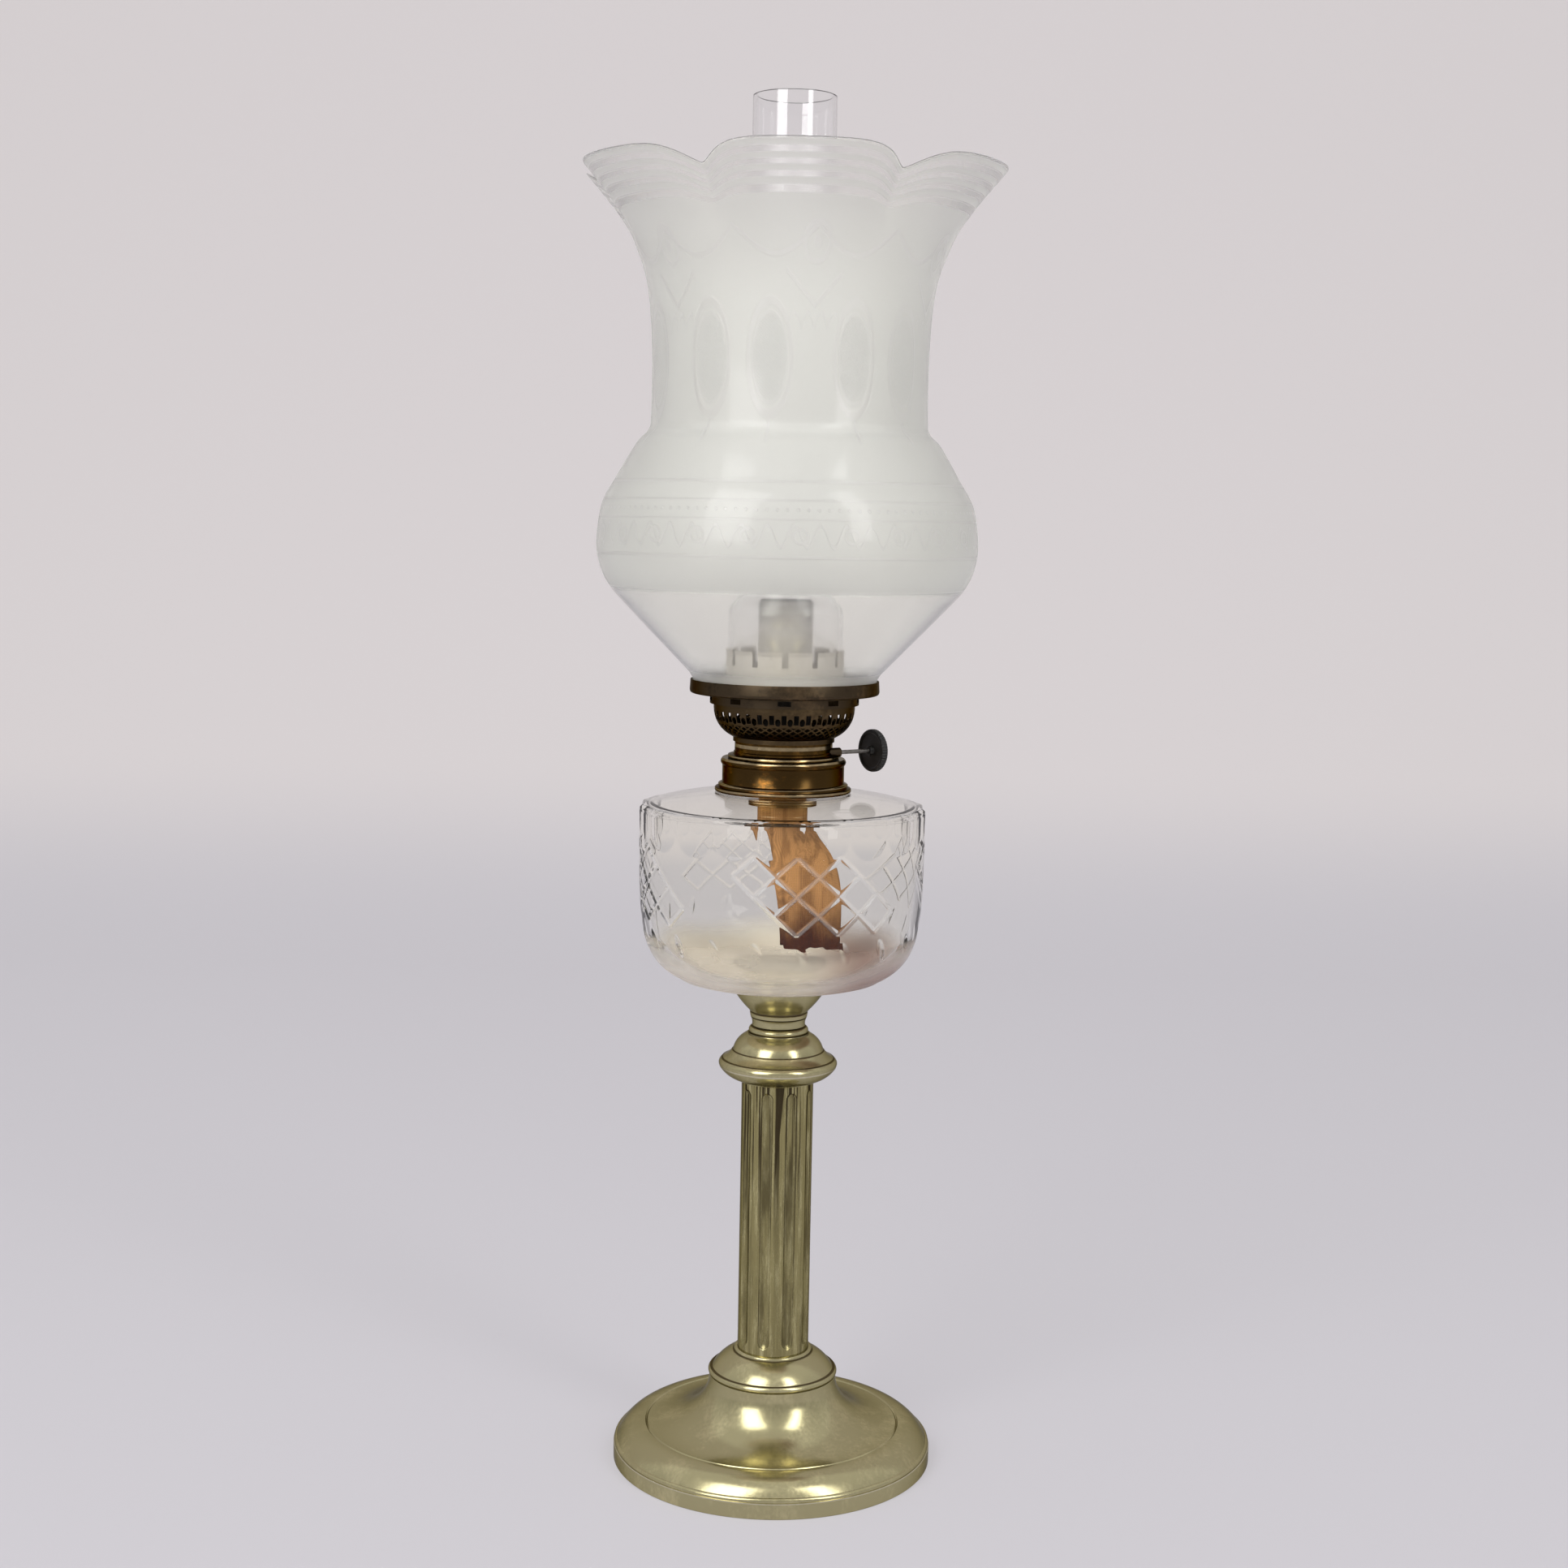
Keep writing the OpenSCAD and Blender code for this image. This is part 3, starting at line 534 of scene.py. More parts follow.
@dataclass(frozen=True)
class AgedBrass:
    """Turned brass that has dulled with age.

    Attributes:
        name: Name of the finish.
        bright: Linear colour where it is worn bright.
        dull: Linear colour of the even tarnish.
        deep: Linear colour of the stains and of the painted shade.
        darkening: Share of the surface that is stained.
        sheen: Mean roughness.
        streak: How strongly the stains run up and down.
        metal: Share of bare metal, the rest being a dull crust.
        glint_bands: Heights in millimetres of the edges where bright lines of highlight are painted.
        glint_colour: Linear colour of those painted highlights.
        shaded_grooves: Heights of the grooves and joints where shade is painted.
        edge: Linear tint where the surface turns away.
    """

    name: str
    bright: Colour
    dull: Colour
    deep: Colour
    darkening: float
    sheen: float
    streak: float = 1.0
    metal: float = 1.0
    glint_bands: tuple[Point, ...] = ()
    glint_colour: Colour = (0.62, 0.5, 0.3)
    shaded_grooves: tuple[Point, ...] = ()
    edge: Colour = (0.34, 0.32, 0.26)

    def marks(self, look: Shader) -> list[Field]:
        """Dark marks of a special piece, some of them painted shade, 1 for the darkest; plain brass has none.
        """
        return []

    def make(self) -> bpy.types.Material:
        """Builds the finish.

        Returns:
            The material.
        """
        look = Shader(self.name)
        along, z = (self.streak, self.streak, 1.0), look.place()[2]
        cloud, fine = look.noise(34, along, 6), look.noise(420, along, 5, 0.65)
        grain = cloud * 0.65 + fine * 0.35
        base = look.colours(grain, [(0.3, self.dull), (0.5, self.dull), (0.68, self.bright)])
        spots = look.noise(90, (1.0, 1.0, 1.0 / self.streak), 6, 0.7)
        spots = spots.step(0.7 - self.darkening * 0.4, 0.86 - self.darkening * 0.3) * 0.8
        # Painted shade: darker bands in the grooves and joints at the listed heights.
        groove_shade = [z.within(low, high, 0.12) * 0.9 for low, high in self.shaded_grooves]
        spots = largest([spots, *self.marks(look), *groove_shade])
        tone, rough = look.mixed(spots, base, self.deep), fine * 0.16 + spots * 0.2
        # Painted highlights: bright, slightly smoother lines on the listed edges.
        if self.glint_bands:
            glints = largest([z.within(low, high, 0.15) for low, high in self.glint_bands])
            tone = look.mixed(glints * (fine * 0.8 + 0.2), tone, self.glint_colour)
            rough = rough + glints * -0.04
        look.give("Base Color", tone)
        look.give("Metallic", self.metal)
        look.give("Specular Tint", self.edge)
        look.give("Roughness", rough + (self.sheen - 0.08))
        scratches = look.noise(900, (0.4, 0.4, 6.0), 3, 0.7)
        look.bump(scratches * 0.5 + fine * 0.5 + cloud * 4.0, 0.00006, 0.35)
        return look.material


@dataclass(frozen=True)
class FlutedBrass(AgedBrass):
    """Aged brass of the column, with painted shade in its flutes and a painted dark reflection that runs down
    its front.

    Attributes:
        land: Radius of the column between its flutes in millimetres.
        depth: Depth of a flute.
        run: Heights of the tip and of the broad end of the painted dark reflection.
        spread: Directions of the painted reflection's sides at its broad end, in degrees right of the front.
    """

    land: float = 16.9
    depth: float = 1.3
    run: Point = (136.0, 184.0)
    spread: Point = (-1.8, 11.6)

    def marks(self, look: Shader) -> list[Field]:
        """The painted shade in the flutes, the painted dark lines along their edges, the painted dark
        reflection and fine threads of soiling.

        Args:
            look: The material under construction.

        Returns:
            One field for each kind of mark.
        """
        x, y, z = look.place()
        face, radius = y.angle(x) + 90.0, x.hypot(y)
        patch = look.noise(60, (3.0, 3.0, 0.5), 5)
        # Painted shade in the flute bottoms, broken into patches.
        groove_shade = radius.step(self.land - 0.1, self.land - 0.7 * self.depth) * patch.step(0.3, 0.65)
        # Painted shade: dark lines along the flute edges, stronger higher up.
        upper = z.step(70.0, 190.0) * 0.3
        lines = radius.within(self.land - 0.45, self.land - 0.15, 0.12) * (patch + upper).step(0.38, 0.62)
        # Painted dark reflection of the capital: a wedge just right of the front, widening up to the capital.
        (tip, broad), (left, right) = self.run, self.spread
        rise = (z - tip) / (broad - tip)
        sides = (rise * (right - left) + left - face).step(-0.7, 0.7) * face.step(left - 0.7, left + 0.7)
        darkening = sides * rise.step(0.0, 0.06)
        thread = look.noise(620, (1.0, 1.0, 0.012), 3).step(0.5, 0.57)
        return [groove_shade * 0.65, lines * 0.9, darkening * 0.95, thread * (z.step(95.0, 165.0) * 0.75 + 0.2)]


@dataclass(frozen=True)
class SootyBrass(AgedBrass):
    """Tarnished brass that the flame has blackened towards the top.

    Attributes:
        soot: Heights in millimetres between which the soot grows.
        under: Heights between which the unlit lower end darkens.
    """

    soot: Point = (392.0, 412.0)
    under: Point = (368.0, 364.0)

    def marks(self, look: Shader) -> list[Field]:
        """The soot, with a cloudy lower edge, and painted shade on the lower end inside the basket."""
        cloud, z = look.noise(120, (1, 1, 0.5), 5), look.place()[2]
        # The second field is painted shade on the unlit end inside the basket.
        return [(z + (cloud - 0.5) * 16.0).step(*self.soot) * 0.68, z.step(*self.under) * 0.98]


@dataclass(frozen=True)
class PiercedBrass(AgedBrass):
    """Dark brass of the burner's bowl, stamped with a lattice below its slots.

    Attributes:
        zone: Heights in millimetres of the lattice.
        count: Lozenges round the bowl.
        tall: Height of a lozenge.
    """

    zone: Point = (347.4, 352.4)
    count: int = 44
    tall: float = 2.6

    def marks(self, look: Shader) -> list[Field]:
        """The dark lozenges between the lattice's bars.

        Args:
            look: The material under construction.

        Returns:
            The one field of the lozenges.
        """
        x, y, z = look.place()
        across, up = y.angle(x) * (self.count / 360.0), (z - self.zone[0]) / self.tall
        bars = largest([slope.repeat(1.0).away() for slope in (across + up, across - up)])
        return [bars.step(0.42, 0.3) * z.within(*self.zone, 0.2)]


@dataclass(frozen=True)
class ClearGlass:
    """Clear soda glass.

    Attributes:
        name: Name of the finish.
        tint: Linear colour of the glass.
        low_tint: Linear colour towards the bottom of the piece.
        low_right_tint: Linear colour at the right of the bottom.
        fade: Heights in millimetres between which the tints change.
        bend: Index of refraction.
        milk: Share of the glass that a film of old oil clouds towards the bottom.
        grey: Share of light that the ground face of a cut scatters.
    """

    name: str
    tint: Colour
    low_tint: Colour
    low_right_tint: Colour
    fade: Point
    bend: float
    milk: float = 0.0
    grey: float = 0.0

    def make(self) -> bpy.types.Material:
        """Builds the finish.

        Returns:
            The material.
        """
        look = Shader(self.name)
        across, deep, height = look.place()
        cloud = look.noise(16)
        level = (height + (cloud - 0.5) * 14.0 + deep.step(-35.0, -58.0) * 7.0).step(*self.fade)
        # Low on the glass the tint turns browner towards the right.
        low = look.mixed((across + (cloud - 0.5) * 30.0).step(8.0, 40.0), self.low_tint, self.low_right_tint)
        look.give("Base Color", look.mixed(level, low, self.tint))
        ground = look.own("cut") * self.grey
        look.give("Transmission Weight", (level * self.milk + (1.0 - self.milk)) * ground.rest())
        look.give("IOR", self.bend)
        look.give("Roughness", cloud * 0.02 + level.rest() * (self.milk * 0.4) + ground)
        look.let_light_through(0.9, self.tint)
        return look.material


@dataclass(frozen=True)
class EtchedGlass:
    """Clear glass with an acid-etched frost and a traditional drawn ornament.

    Attributes:
        name: Name of the finish.
        height: Height of the shade in millimetres.
        repeat: Degrees from one ornament to the next.
        centre: Turn of the first ornament in degrees.
        frost: Linear colour of the frosted glass.
        clear: Linear colour of the clear glass.
        stripes: Distance below the rim and half width of each clear stripe in millimetres.
        rules: Height of each line ruled round the bulge, and the distances where it ends and is full.
    """

    name: str
    height: float
    repeat: float
    centre: float
    frost: Colour = (0.945, 0.95, 0.905)
    clear: Colour = (0.972, 0.969, 0.95)
    stripes: tuple[Point, ...] = ((4.2, 1.4), (8.7, 1.2), (13.2, 1.3), (18.6, 1.7))
    rules: tuple[Triple, ...] = ((95.0, 0.8, 0.4), (63.0, 0.8, 0.4), (87.0, 0.5, 0.2), (79.0, 0.5, 0.2))

    def ornament(self, turn: Field, high: Field) -> Field:
        """The drawn leaves, drops, swags and fans above the bulge.

        Args:
            turn: Degrees round the shade.
            high: Outline height in millimetres.

        Returns:
            1 on a line, 0 elsewhere.
        """
        x = (turn - self.centre).repeat(self.repeat) * 1.1
        apart = x.away()
        side, up = apart - 19.0, high - 148.0
        leaf = (side / 9.5).hypot(up / 24.0)
        rim = leaf.away(1.0).step(0.12, 0.05).most(leaf.away(0.8).step(0.05, 0.02) * 0.6)
        net = largest([slope.wave(2.2).away().step(0.3, 0.1) for slope in (side + up, side - up)])
        net = net * leaf.step(0.8, 0.72)
        stem = side.away().step(0.9, 0.4) * up.within(-44, -23, 1.0)
        vee = (up - 22.0 - apart * 1.2).away().step(1.6, 0.8) * apart.step(13.0, 11.0)
        drop = (x / 5.0).hypot((high - 196.0) / 8.0)
        bead = drop.away(1.0).step(0.2, 0.08).most(drop.step(0.4, 0.25))
        swag = (high - 203.0 + apart.wave(0.095) * 12.0).away().step(1.5, 0.7) * high.within(180, 209, 1.0)
        fan = (x.wave(0.55).away() * 7.0 + 160.0 - high).away().step(1.2, 0.5) * apart.step(11.0, 9.0)
        return largest([rim, net * 0.8, stem, vee, bead, swag, fan * 0.7]) * high.within(112, 212, 1.0)

    def band(self, turn: Field, high: Field) -> Field:
        """The drawn dots, scrolls and ruled lines round the bulge.

        Args:
            turn: Degrees round the shade.
            high: Outline height in millimetres.

        Returns:
            1 on the strongest line, 0 off the lines.
        """
        dots = (turn.repeat(3.0) * 1.5).hypot(high - 83.0).step(0.9, 0.6)
        along, up = turn.repeat(15.0) * 1.5, high - 72.0
        scroll = (along.wave(0.56) * 4.6 - up).away().step(1.1, 0.5)
        curl = along.away(5.6).hypot(up).away(3.0).step(0.9, 0.4)
        scrolls = scroll.most(curl) * high.within(64.0, 78.5, 0.4)
        rules = [high.away(middle).step(end, full) for middle, end, full in self.rules]
        return (largest([scrolls, *rules]) * 0.7).most(dots * 0.85)

    def make(self) -> bpy.types.Material:
        """Builds the finish.

        Returns:
            The material.
        """
        look = Shader(self.name)
        turn, high = look.turn_map()
        cloud = look.noise(30, (1, 1, 0.6), 5)
        drawn = (self.ornament(turn, high) * 0.75).most(self.band(turn, high))
        top = (high - self.height) * -1.0
        stripes = largest([top.within(middle - half, middle + half, 0.25) for middle, half in self.stripes])
        etched = high.step(46.0, 49.0).most(high.step(13.0, 7.0) * 0.8)
        zone = (etched * 0.6 + 0.4) * top.step(0.4, 1.2)
        frost = zone * (drawn * -0.65 + 1.0) * (stripes * -0.8 + 1.0)
        look.give("Base Color", look.mixed(frost, self.clear, self.frost))
        look.give("Transmission Weight", frost * (cloud * -0.06 - 0.09) + 1.0)
        look.give("Roughness", frost * etched * (cloud * 0.2 + 0.25) + zone * 0.15 + 0.02)
        look.give("IOR", 1.48)
        look.give("Coat Weight", 0.32)
        look.give("Coat Roughness", 0.05)
        look.bump(drawn * -0.6 + frost * 0.4, 0.0003, 0.65)
        look.let_light_through(0.85, (0.98, 0.99, 0.98))
        return look.material


@dataclass(frozen=True)
class Cotton:
    """Woven cotton wick, soaked and browned by old oil.

    Attributes:
        name: Name of the finish.
        pale: Linear colour of the fresher cloth.
        soaked: Linear colour of the soaked end.
        fade: Heights in millimetres between which the colours change.
        char: Heights between which the burnt edge starts.
        burnt: Linear colour of the burnt edge.
    """

    name: str
    pale: Colour
    soaked: Colour
    fade: Point
    char: Point
    burnt: Colour = (0.012, 0.01, 0.009)

    def make(self) -> bpy.types.Material:
        """Builds the finish.

        Returns:
            The material.
        """
        look = Shader(self.name)
        x, y, z = look.place()
        cloud = look.noise(110, (1, 1, 0.5), 5)
        level = (z + (cloud - 0.5) * 26.0).step(*self.fade)
        weave = z.wave(5.2).away() * (x + y).wave(4.1).away()
        level = level * (look.noise(240, (1, 1, 0.04), 3, 0.5).step(0.44, 0.64) * -0.42 + 1.0)
        tone = look.mixed(z.step(*self.char), look.mixed(level, self.soaked, self.pale), self.burnt)
        dark = tuple(part * 0.4 for part in self.soaked)
        look.give("Base Color", look.mixed(weave * 0.35 + cloud * 0.2, tone, dark))
        look.give("Roughness", 0.85)
        look.give("Specular IOR Level", 0.1)
        look.bump(weave, 0.0004, 0.6)
        return look.material


@dataclass(frozen=True)
class Grained:
    """A plain solid finish with grain: cast iron, steel, plaster or lacquer.

    Attributes:
        name: Name of the finish.
        colour: Main linear colour.
        shade: Linear colour of the darker grain.
        metallic: 1 for bare metal, 0 for the rest.
        sheen: Mean roughness.
        scale: Features of the grain per metre.
        relief: Depth of the grain in metres.
    """

    name: str
    colour: Colour
    shade: Colour
    metallic: float
    sheen: float
    scale: float
    relief: float

    def make(self) -> bpy.types.Material:
        """Builds the finish.

        Returns:
            The material.
        """
        look = Shader(self.name)
        grain = look.noise(self.scale, detail=6, rough=0.65)
        wide = look.noise(self.scale / 8)
        pale = (grain * 0.5 + wide * 0.5).step(0.35, 0.68)
        look.give("Base Color", look.mixed(pale, self.shade, self.colour))
        look.give("Metallic", self.metallic)
        look.give("Roughness", grain * 0.24 + (self.sheen - 0.12))
        look.bump(grain, self.relief, 0.6)
        return look.material


class Finishes:
    """Every finish of the lamp, made once."""

    def __init__(self) -> None:
        """Makes the materials."""
        self.brass = AgedBrass(
            "stand_brass", bright=(0.67, 0.605, 0.352), dull=(0.5, 0.455, 0.258), deep=(0.1, 0.075, 0.04),
            darkening=0.15, sheen=0.21, streak=1.6, metal=0.93,
            # The listed edges get painted highlight lines, the listed grooves painted shade.
            glint_bands=((7.0, 7.6), (190.2, 190.9)), glint_colour=(0.8, 0.75, 0.58),
            shaded_grooves=(
                (43.5, 43.9), (51.7, 52.1), (193.9, 194.4), (197.9, 198.4),
                (206.2, 206.7), (209.2, 209.9), (213.6, 214.2), (216.0, 217.0),
            ),
        ).make()
        self.column = FlutedBrass(
            "column_brass", bright=(0.72, 0.66, 0.36), dull=(0.37, 0.325, 0.15), deep=(0.045, 0.032, 0.017),
            darkening=0.4, sheen=0.22, streak=12.0, metal=0.92,
        ).make()
        self.collar = AgedBrass(
            "collar_brass", bright=(0.42, 0.17, 0.03), dull=(0.075, 0.042, 0.013), deep=(0.03, 0.02, 0.01),
            # The listed bands are painted highlight lines.
            darkening=0.4, sheen=0.22, streak=0.7, glint_bands=((335.1, 336.2), (323.7, 324.6), (321.4, 322.2)),
        ).make()
        self.drum = AgedBrass(
            "drum_brass", bright=(0.34, 0.17, 0.035), dull=(0.085, 0.045, 0.011), deep=(0.03, 0.02, 0.009),
            # The listed bands are painted highlight lines.
            darkening=0.5, sheen=0.22, streak=0.7, glint_bands=((336.5, 337.4), (341.2, 342.8)),
        ).make()
        self.bronze = AgedBrass(
            "burner_bronze", bright=(0.165, 0.11, 0.06), dull=(0.075, 0.054, 0.033),
            deep=(0.025, 0.02, 0.015), darkening=0.45, sheen=0.32,
        ).make()
        self.basket = PiercedBrass(
            "basket_bronze", bright=(0.18, 0.122, 0.06), dull=(0.085, 0.058, 0.03),
            deep=(0.004, 0.003, 0.002), darkening=0.3, sheen=0.32,
        ).make()
        self.holder = AgedBrass(
            "holder_brass", bright=(0.75, 0.71, 0.66), dull=(0.66, 0.61, 0.55), deep=(0.4, 0.37, 0.33),
            darkening=0.3, sheen=0.46, metal=0.15,
        ).make()
        self.tube = SootyBrass(
            "tube_brass", bright=(0.68, 0.64, 0.58), dull=(0.58, 0.54, 0.49), deep=(0.03, 0.026, 0.022),
            darkening=0.0, sheen=0.46, metal=0.15,
        ).make()
        self.iron = Grained(
            "cast_iron", colour=(0.05, 0.047, 0.045), shade=(0.02, 0.018, 0.017),
            metallic=0.0, sheen=0.7, scale=700, relief=0.0004,
        ).make()
        self.steel = Grained(
            "rod_steel", colour=(0.35, 0.34, 0.32), shade=(0.16, 0.14, 0.12),
            metallic=1.0, sheen=0.42, scale=800, relief=0.0001,
        ).make()
        self.black = Grained(
            "black_lacquer", colour=(0.02, 0.019, 0.017), shade=(0.005, 0.005, 0.005),
            metallic=0.0, sheen=0.46, scale=600, relief=0.00012,
        ).make()
        self.plaster = Grained(
            "plaster", colour=(0.72, 0.68, 0.6), shade=(0.5, 0.45, 0.38),
            metallic=0.0, sheen=0.85, scale=500, relief=0.0003,
        ).make()
        self.cotton = Cotton(
            "wick_cotton", pale=(0.72, 0.37, 0.14), soaked=(0.07, 0.014, 0.003),
            fade=(248, 278), char=(403, 406),
        ).make()
        self.font = ClearGlass(
            "font_glass", tint=(0.964, 0.958, 0.925), low_tint=(0.84, 0.77, 0.66), low_right_tint=(0.36, 0.22, 0.17),
            fade=(235, 252), bend=1.28, milk=0.7, grey=0.14,
        ).make()
        self.chimney = ClearGlass(
            "chimney_glass", tint=(0.985, 0.985, 0.99), low_tint=(0.96, 0.95, 0.94), low_right_tint=(0.96, 0.95, 0.94),
            fade=(366, 420), bend=1.6,
        ).make()
        self.shade = EtchedGlass(
            "shade_glass", height=Shade.height, repeat=360.0 / Shade.lobes, centre=Shade.front + 6.0
        ).make()


def dress(piece: bpy.types.Object, material: bpy.types.Material, node: str) -> None:
    """Gives a new piece its finish and hides the solid that it stands for.

    Args:
        piece: The new piece.
        material: Its finish.
        node: The solid that it replaces.
    """
    piece.data.materials.clear()
    piece.data.materials.append(material)
    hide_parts(node)
    LOG.info("piece %s with %d faces", piece.name, len(piece.data.polygons))


def dress_solids(material: bpy.types.Material, *nodes: str) -> None:
    """Gives solids that stay their finish and soft shading.

    Args:
        material: Their finish.
        nodes: Names of the solids.
    """
    for node in nodes:
        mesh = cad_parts[node].data
        mesh.materials.clear()
        mesh.materials.append(material)
        soften(mesh, SOLID_CREASE)
        LOG.info("solid %s", node)


@dataclass
class Stand:
    """Foot, column and cup.

    Attributes:
        foot_r: Radius of the foot.
        band: Height of the foot's upright band.
        lip: Height of the thin lip on the band.
        roll_w: Width of the roll inside the band.
        roll_h: Rise of the roll.
        foot_h: Height of the foot.
        throat: Radius of the foot's throat.
        sheet: Thickness of the spun brass.
        column_r: Radius of the column.
        column_low: Height of the top of the column's socket.
        column_high: Height of the capital's underside.
        column_wall: Thickness of the column.
        seat: Depth of the recess at each end of the column.
        flutes: Number of flutes.
        flute_w: Width of a flute.
        flute_d: Depth of a flute.
        flute_stop: Plain length above and below the flutes.
        flute_turn: Turn of the first flute in degrees.
        rod_hole: Radius of the hole for the tie rod.
        rod_r: Radius of the tie rod.
        capital_r: Radius of the capital's flange.
        capital_h: Height of the capital.
        neck: Radius of the turned neck at its narrowest.
        neck_h: Height of the neck.
        cup_r: Radius of the cup's rim.
        cup_h: Height of the cup.
    """

    foot_r: float = 75.5
    band: float = 7.5
    lip: float = 2.0
    roll_w: float = 15.0
    roll_h: float = 7.5
    foot_h: float = 40.6
    throat: float = 30.2
    sheet: float = 1.2
    column_r: float = 16.9
    column_low: float = 53.6
    column_high: float = 184.0
    column_wall: float = 3.0
    seat: float = 2.5
    flutes: int = 9
    flute_w: float = 6.4
    flute_d: float = 1.3
    flute_stop: float = 3.4
    flute_turn: float = -106.0
    rod_hole: float = 4.25
    rod_r: float = 4.0
    capital_r: float = 27.9
    capital_h: float = 22.0
    neck: float = 12.4
    neck_h: float = 11.0
    cup_r: float = 23.0
    cup_h: float = 12.5

    def foot(self) -> bpy.types.Object:
        """Spins the foot shell.

        Returns:
            The new object.
        """
        rim, groove, band, sheet = self.foot_r, self.foot_r - self.roll_w, self.band, self.sheet
        edge, roll = rim - 1.6, band + self.lip + 0.1
        groove_z, top, sweep = roll + self.roll_h, self.foot_h - sheet, groove - 1.2
        outside = [
            (rim - 0.3, 0.0), (rim, 0.3), (rim, band - 0.3), (rim - 0.1, band),
            *bow((rim - 0.4, band + 0.1), (rim - 1.1, band + self.lip), 0.4, 14),
            *bow((edge, roll), (groove, groove_z), 2.2, 40),
            (groove - 0.3, groove_z - 0.45), (groove - 0.6, groove_z - 0.6), (groove - 0.9, groove_z - 0.4),
            *ellipse_arc((sweep, top), sweep - self.throat, top - groove_z, 270, 180, 60),
            (self.throat, self.foot_h), (self.rod_hole, self.foot_h),
        ]
        inside = [
            (rim - sheet, 0.0), (rim - sheet, band - sheet / 2),
            *bow((edge - sheet, roll - 0.7 * sheet), (groove - 0.6, groove_z - sheet - 0.6), 2.0, 16),
            *ellipse_arc((sweep, top), sweep - self.throat + sheet, self.foot_h - groove_z, 264, 180, 30),
            (self.rod_hole, top),
        ]
        return Turning([*outside, *inside[::-1]], 240).build("foot", Body.STAND, 40)

    def socket(self) -> bpy.types.Object:
        """Turns the domed socket under the column.

        Returns:
            The new object.
        """
        throat, column, top = self.throat, self.column_r, self.column_low - self.foot_h
        line = [
            (self.rod_hole, 0.0),
            *bow((throat - 0.2, 0.0), (throat - 0.4, 3.0), 0.8, 14), (throat - 1.3, 3.1),
            *bow((throat - 1.6, 3.3), (column + 2.0, top - 1.8), 1.0, 24), (column + 1.75, top - 1.75),
            *bow((column + 1.6, top - 1.6), (column + 0.6, top), 0.5, 10),
            (column + 0.05, top), (column + 0.05, top - self.seat), (self.rod_hole, top - self.seat),
        ]
        return Turning(line, 200, lift=self.foot_h).build("socket", Body.STAND)

    def column(self) -> bpy.types.Object:
        """Turns the column and cuts its flutes.

        Returns:
            The new object.
        """
        low, high = self.column_low - self.seat, self.column_high + self.seat
        cut = (self.flute_w**2 / 4 + self.flute_d**2) / (2 * self.flute_d)
        first, last = self.column_low + self.flute_stop, self.column_high - self.flute_stop
        reach, centre = self.flute_w / 2, self.column_r - self.flute_d + cut
        ends = np.linspace(-0.6, reach + 2, 15)
        rows = sorted({low, high, *(first + ends), *(last - ends), *np.linspace(first + 8, last - 8, 8)})
        bore = self.column_r - self.column_wall
        outline = [*[(self.column_r, z) for z in rows], (bore, high), (bore, low)]

        def flute(a: np.ndarray, r: np.ndarray, z: np.ndarray) -> Arrays:
            """Presses the flutes into the outside of the tube.

            Args:
                a: Turn of each point in radians.
                r: Radius of each point.
                z: Height of each point.

            Returns:
                The radius and height to use.
            """
            step = 2 * math.pi / self.flutes
            d = (a - math.radians(self.flute_turn) + step / 2) % step - step / 2
            past = np.maximum(np.maximum(first + reach - z, z - last + reach), 0)
            inside = cut**2 - past**2 - (centre * np.sin(d)) ** 2
            wall = centre * np.cos(d) - np.sqrt(np.maximum(inside, 0))
            hit = (inside > 0) & (wall < r) & (r > self.column_r - 0.1)
            return np.where(hit, wall, r), z

        return Turning(outline, 400, flute).build("column_tube", Body.STAND, 22)

    def capital(self) -> bpy.types.Object:
        """Turns the capital.

        Returns:
            The new object.
        """
        column, flange, neck, top = self.column_r, self.capital_r, self.neck, self.capital_h
        knop = flange - 6.6
        line = [
            (self.rod_hole, self.seat), (column + 0.05, self.seat), (column + 0.05, 0.0), (column + 2.0, 0.0),
            (column + 2.5, 0.15), *bow((column + 2.8, 0.5), (flange - 0.4, 6.2), 0.9, 20),
            *bow((flange - 0.2, 6.8), (flange - 0.9, 9.6), 0.5, 12),
            *bow((flange - 1.3, 10.1), (knop + 0.5, 13.9), -0.5, 16),
            *bow((knop, 14.2), (neck + 3.0, top - 0.4), 1.1), (neck + 2.6, top), (self.rod_hole, top),
        ]
        return Turning(line, 200, lift=self.column_high).build("column_capital", Body.STAND, 30)

    def spool(self) -> bpy.types.Object:
        """Turns the neck above the capital.

        Returns:
            The new object.
        """
        neck, top, base = self.neck, self.neck_h, self.column_high + self.capital_h
        line = [
            (self.rod_hole, 0.0), (neck + 1.9, 0.0), (neck + 1.8, 0.4),
            *bow((neck + 1.2, 0.5), (neck + 0.8, 3.2), 0.6, 14), (neck - 0.3, 3.6),
            *bow((neck + 0.1, 4.0), (neck + 0.7, top - 3.4), -0.3, 14),
            (neck + 0.4, top - 3.1), (neck + 0.9, top - 2.8), (neck + 1.2, top - 1.2),
            (neck + 0.9, top - 0.8), (neck + 1.2, top - 0.5), (neck + 1.3, top), (self.rod_hole, top),
        ]
        return Turning(line, 160, lift=base).build("turned_neck", Body.STAND)

